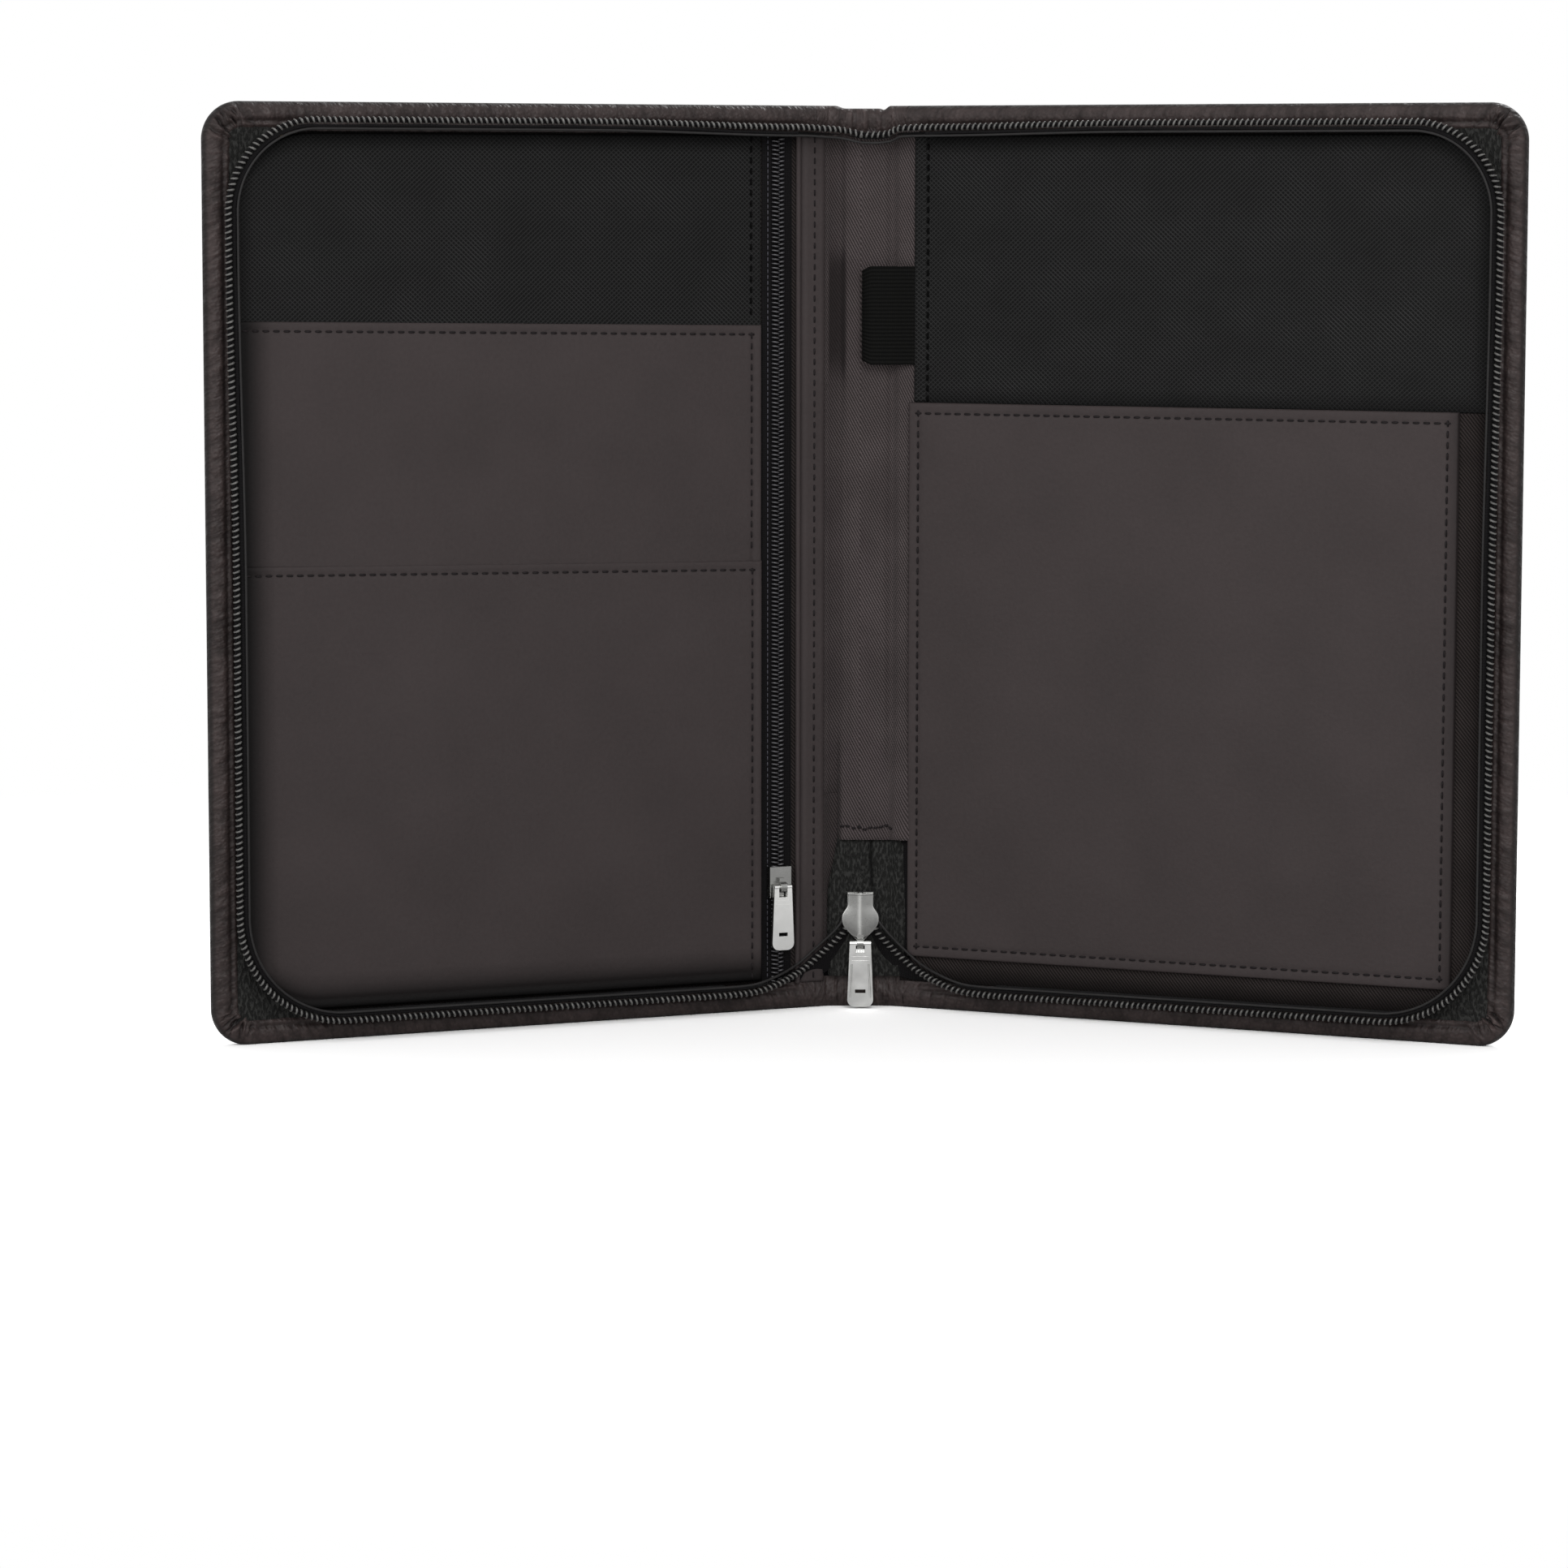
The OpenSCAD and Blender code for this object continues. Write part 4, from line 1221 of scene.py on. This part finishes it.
def right_sheets():
    sewn_sheet("right_panel_cloth", RIGHT, RIGHT_PANEL_U, FORE_U, level(RIGHT_PANEL_FOOT), PANEL_TOP,
               LINING_H, PANEL_H, SAFFIANO, "saffiano", "right_panel", "right_lining_cloth")
    foot, head = RIGHT_POCKET_V
    sewn_sheet("right_pocket_front", RIGHT, *RIGHT_POCKET_U, level(foot), level(head),
               LINING_H, RIGHT_POCKET_H, BROWN, "leatherette", "right_pocket", "right_lining_cloth",
               puff=0.35, seam=RIGHT_SEAM, gaps=(5.5, FAR))
    strip = patch("right_strip", RIGHT, *RIGHT_STRIP_U, level(RIGHT_STRIP_FOOT), level(STRIP_TOP),
                  LINING_H + 0.2, RIGHT_STRIP_H, SAFFIANO, edge=0.6)
    settle(strip, BODY[RIGHT], "saffiano", "right_edge_strip")
    note_painted_light(strip, np.full(len(strip.data.vertices), RIGHT_STRIP_PAINTED_LIGHT))
    panel_row("right_strip_stitches", RIGHT, RIGHT_ROW_U, RIGHT_ROW_FOOT, STRIP_TOP)
    u0, u1 = RIGHT_POCKET_U[0] + RIGHT_SEAM, RIGHT_POCKET_U[1] - RIGHT_SEAM
    v0, v1 = foot + RIGHT_SEAM, head - RIGHT_SEAM
    corners = [(u0, v1), (u1, v1), (u1, v0), (u0, v0), (u0, v1)]
    for name, ends in zip(("top", "fore", "foot", "spine"), zip(corners, corners[1:])):
        pocket_row("right_pocket_%s_stitches" % name, RIGHT, ends, RIGHT_POCKET_H)


# Pen loop: a ribbed elastic band with its ends tucked under the right strip.

LOOP_FRONT = [(15.8, 6.2), (14.4, 6.15), (12.5, 6.4), (9.5, 6.85), (6.0, 7.05), (3.0, 6.9), (1.2, 6.2),
              (0.4, 5.0)]
LOOP_BACK = [(1.6, 3.5), (5.0, 3.0), (9.4, 3.05), (12.4, 4.45), (15.86, 6.06)]
LOOP_FOOT, LOOP_TOP = 179.3, 206.3
LOOP_CORNER = 1.3
LOOP_STEPS = 209
RIB_DEPTH = 0.16


def pen_loop():
    """The elastic. Its section's points are so far right of the spine's middle and so far in front of it."""
    section = curve(LOOP_FRONT + LOOP_BACK, 0.5)
    v = np.linspace(LOOP_FOOT, LOOP_TOP, LOOP_STEPS)
    rib = RIB_DEPTH * np.abs(np.sin(math.pi * (v - LOOP_FOOT) / RIB_PITCH))
    ahead = np.gradient(section, axis=0)
    lift = unit(np.stack([-ahead[:, 1], ahead[:, 0]], 1))
    spot = section[:, None] - lift[:, None] * rib[None, :, None]
    middle = (LOOP_FOOT + LOOP_TOP) / 2
    narrow = 1 - LOOP_CORNER / (LOOP_TOP - middle) * smooth((3.0 - section[:, 0]) / 3.2)
    vv = middle + (v - middle)[None] * narrow[:, None]
    points = np.stack([spot[..., 0], -spot[..., 1], np.broadcast_to(vv, spot.shape[:2])], -1)
    band = grid("pen_loop_band", points, ELASTIC, pairs(running(section)[:, None], v[None]))
    bridge(band, RIGHT, "elastic", "pen_loop")


# Metal: a domed face on the main slider and small details on its pull tab.

LIP_Z = 32.0
SLIDER_SHAPE = [(19.1, 0.6), (19.6, 1.25), (20.6, 2.45), (21.7, 3.55), (23.2, 4.75), (24.7, 5.2),
                (26.2, 5.05), (27.3, 4.5), (28.1, 3.95), (28.9, 3.6), (30.0, 3.5), (31.4, 3.45),
                (LIP_Z, 3.45), (32.75, 3.45)]
SLIDER_BACK, SLIDER_FACE, SLIDER_RIDGE = -4.95, -6.2, 0.95
LUG_Y, LUG_Z = -7.2, 18.4
BEAD_STEPS = 24


def slider_face():
    """The slider's shield: two smooth slopes from a middle ridge, a rounded rim and a lip along the top."""
    shape = curve(SLIDER_SHAPE, 0.18)
    z, half = shape[:, 0], shape[:, 1]
    wide = half + 0.3 + 0.15 * smooth((z - LIP_Z) / 0.25)
    share = np.linspace(-1, 1, 61)
    x = wide[:, None] * share[None]
    across = np.clip(np.abs(x) / half[:, None], 0, 1)
    dome = SLIDER_FACE - SLIDER_RIDGE * (1 - np.sqrt(across ** 2 + 0.002))
    dome = dome - 0.3 * smooth((z - LIP_Z) / 0.2)[:, None]
    from_ends = np.minimum(z[-1] - z, (z - z[0]) * 1.5 + 0.1)
    inside = np.minimum(wide[:, None] - np.abs(x), from_ends[:, None])
    rim = np.clip(inside / 0.5, 0, 1)
    y = SLIDER_BACK + (dome - SLIDER_BACK) * np.sqrt(1 - (1 - rim) ** 2)
    points = np.stack(np.broadcast_arrays(SLIDER_X + x, y, z[:, None]), -1)
    shield = grid("slider_shield", points, NICKEL, points[..., [0, 2]])
    # Painted highlights on the shield: along the ridge, on its rim lower down and on the top lip.
    edge_shine = smooth((0.9 - inside) / 0.7) * (0.35 + 0.65 * smooth((24.5 - z) / 4))[:, None]
    painted_shine = 0.7 * hump(x, -0.2, 0.5) + edge_shine + smooth((z - 32.1) / 0.3)[:, None]
    note(shield, PAINTED_HIGHLIGHT, np.clip(painted_shine, 0, 1))
    settle(shield, "slider", "nickel")


def pull_details():
    """A toothed web below the pull tab's pin and a raised bead along each side of its face."""
    face = LUG_Y - 0.62
    parts = []
    for side in (LEFT, RIGHT):
        z = np.linspace(LUG_Z - 5.8, LUG_Z - 15.2, BEAD_STEPS)
        x = side * np.linspace(2.35, 2.75, BEAD_STEPS)
        line = np.stack([SLIDER_X + x, np.full(BEAD_STEPS, face), z], 1)
        parts.append(tube(line, forward(BEAD_STEPS), 0.24))
    z = np.linspace(LUG_Z - 2.9, LUG_Z - 1.57, 14)
    x, z = np.meshgrid(np.linspace(-1.3, 1.3, 40), z, indexing="ij")
    y = face + 0.14 + 0.3 * smooth((z - LUG_Z + 2.4) / 0.6) - 0.14 * np.abs(np.sin(x * math.pi / 0.65))
    web = np.stack([SLIDER_X + x, y, z], -1)
    for back in (0.0, 1.0):
        parts.append(((web + [0.0, back, 0.0]).reshape(-1, 3), grid_faces(*x.shape)))
    settle(add_mesh("pull_relief", *join(parts), BRIGHT_NICKEL), "pull", "nickel")


# Metal and hidden CAD solids keep their shapes and get a finish; the metal's edges are softened.

SOLID_LOOKS = {"main_slider": NICKEL, "main_pull": BRIGHT_NICKEL, "pocket_slider": NICKEL,
               "pocket_pull": BRIGHT_NICKEL, "left_foam": FOAM, "right_foam": FOAM, "left_board": BOARD,
               "right_board": BOARD}
SOFT_EDGE = 0.25


def finish_nodes():
    for name, look in SOLID_LOOKS.items():
        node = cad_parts[name]
        for slot in node.material_slots:
            slot.material = look
        if look in (NICKEL, BRIGHT_NICKEL):
            bevel = node.modifiers.new("soft_edges", "BEVEL")
            bevel.width = SOFT_EDGE * MM
            bevel.segments = 3
            bevel.limit_method = "ANGLE"


# Studio: white backdrop, pale floor that keeps the shadow, soft lamps and the photograph's camera.

def background():
    """White where the camera, a reflection or a see-through ray looks, and a weaker light on the part."""
    world = bpy.data.worlds.new("studio")
    bpy.context.scene.world = world
    sky = Nodes(world)
    light = sky.tree.nodes["Background"]
    light.inputs["Color"].default_value = WHITE
    light.inputs["Strength"].default_value = 0.4
    shown = sky.add("Background", {"Color": WHITE, "Strength": 1.0})
    path = sky.add("LightPath").outputs
    seen = sky.maths("MAXIMUM", path["Is Camera Ray"], path["Is Transmission Ray"])
    seen = sky.maths("MAXIMUM", seen, path["Is Glossy Ray"])
    mix = sky.add("MixShader", {0: seen, 1: light.outputs[0], 2: shown.outputs[0]})
    sky.put(sky.tree.nodes["World Output"].inputs["Surface"], mix.outputs[0])


FLOOR_HALF = 4.0
FLOOR_TONE = 0.86
SHADOW_REACH, WHITE_START = 0.28, 0.6


def floor():
    """A pale floor that shows the shadow near the object and is plain white further off."""
    corners = [(x * FLOOR_HALF, y * FLOOR_HALF, 0) for x, y in ((-1, -1), (1, -1), (1, 1), (-1, 1))]
    mesh = bpy.data.meshes.new("floor")
    mesh.from_pydata(corners, [], [(0, 1, 2, 3)])
    look = Look("floor_white", (FLOOR_TONE,) * 3 + (1,), 0.9, Specular_IOR_Level=0.0)
    place_m = look.add("TexCoord").outputs["Object"]
    away = look.add("VectorMath", {0: place_m}, operation="LENGTH").outputs["Value"]
    reach = {"Value": away, "From Min": SHADOW_REACH, "From Max": WHITE_START}
    far = look.add("MapRange", reach, interpolation_type="SMOOTHSTEP").outputs["Result"]
    white = look.add("Emission", {"Color": WHITE, "Strength": 1.0}).outputs[0]
    plain = look.bsdf.outputs[0]
    near = look.add("AddShader", {0: plain, 1: plain}).outputs[0]
    shown = look.add("MixShader", {0: far, 1: near, 2: white}).outputs[0]
    by_camera = look.add("LightPath").outputs["Is Camera Ray"]
    mix = look.add("MixShader", {0: by_camera, 1: plain, 2: shown})
    look.put(look.tree.nodes["Material Output"].inputs["Surface"], mix.outputs[0])
    mesh.materials.append(look.material)
    obj = bpy.data.objects.new("floor", mesh)
    bpy.context.scene.collection.objects.link(obj)


AIM = (0, 0, 0.12)


def lamp(name, spot, size, power):
    """A square soft lamp, in metres and watts, turned towards the middle of the part."""
    data = bpy.data.lights.new(name, "AREA")
    data.size = size
    data.energy = power
    obj = bpy.data.objects.new(name, data)
    ahead = np.subtract(AIM, spot)
    yaw = math.atan2(ahead[1], ahead[0]) - math.pi / 2
    pitch = math.atan2(ahead[2], math.hypot(ahead[0], ahead[1])) + math.pi / 2
    obj.location = spot
    obj.rotation_euler = (pitch, 0, yaw)
    bpy.context.scene.collection.objects.link(obj)


FOCAL_PX = 6444.0
PHOTO_PX = 1932.0
SENSOR = 36.0
CAMERA_MM = (-21.03, -1451.3, 226.9)
PITCH_DOWN = math.radians(6.471)
ROLL = math.radians(0.062)


def camera():
    data = bpy.data.cameras.new("camera")
    data.sensor_width = SENSOR
    data.lens = SENSOR * FOCAL_PX / PHOTO_PX
    obj = bpy.data.objects.new("camera", data)
    turn = Matrix.Rotation(math.pi / 2 - PITCH_DOWN, 4, "X") @ Matrix.Rotation(ROLL, 4, "Z")
    obj.matrix_world = Matrix.Translation([c * MM for c in CAMERA_MM]) @ turn
    bpy.context.scene.collection.objects.link(obj)
    bpy.context.scene.camera = obj


def studio():
    bpy.context.scene.view_settings.view_transform = "Standard"
    background()
    floor()
    lamp("key", (0.35, -1.5, 1.0), 0.9, 12.4)
    lamp("fill", (-1.3, -1.1, 0.8), 1.2, 8)
    lamp("low", (-0.3, -1.7, 0.35), 0.35, 2.5)
    lamp("back", (0.8, 1.1, 1.5), 0.7, 18)
    camera()


for half in (LEFT, RIGHT):
    cover_outside(half)
    cover_rim(half)
    outer_stitches(half)
    spine_leather(half)
    spine_lining(half)
    lining_foot(half)
    tongue(half)
    zip_wall(half)
    corner_patches(half)
    zip_coil(half)
    zip_rise(half)
    zip_crossing(half)
    cover_lining(half)
hem_stitches()
left_sheets()
left_strips()
pocket_chain()
right_sheets()
pen_loop()
slider_face()
pull_details()
finish_nodes()
studio()
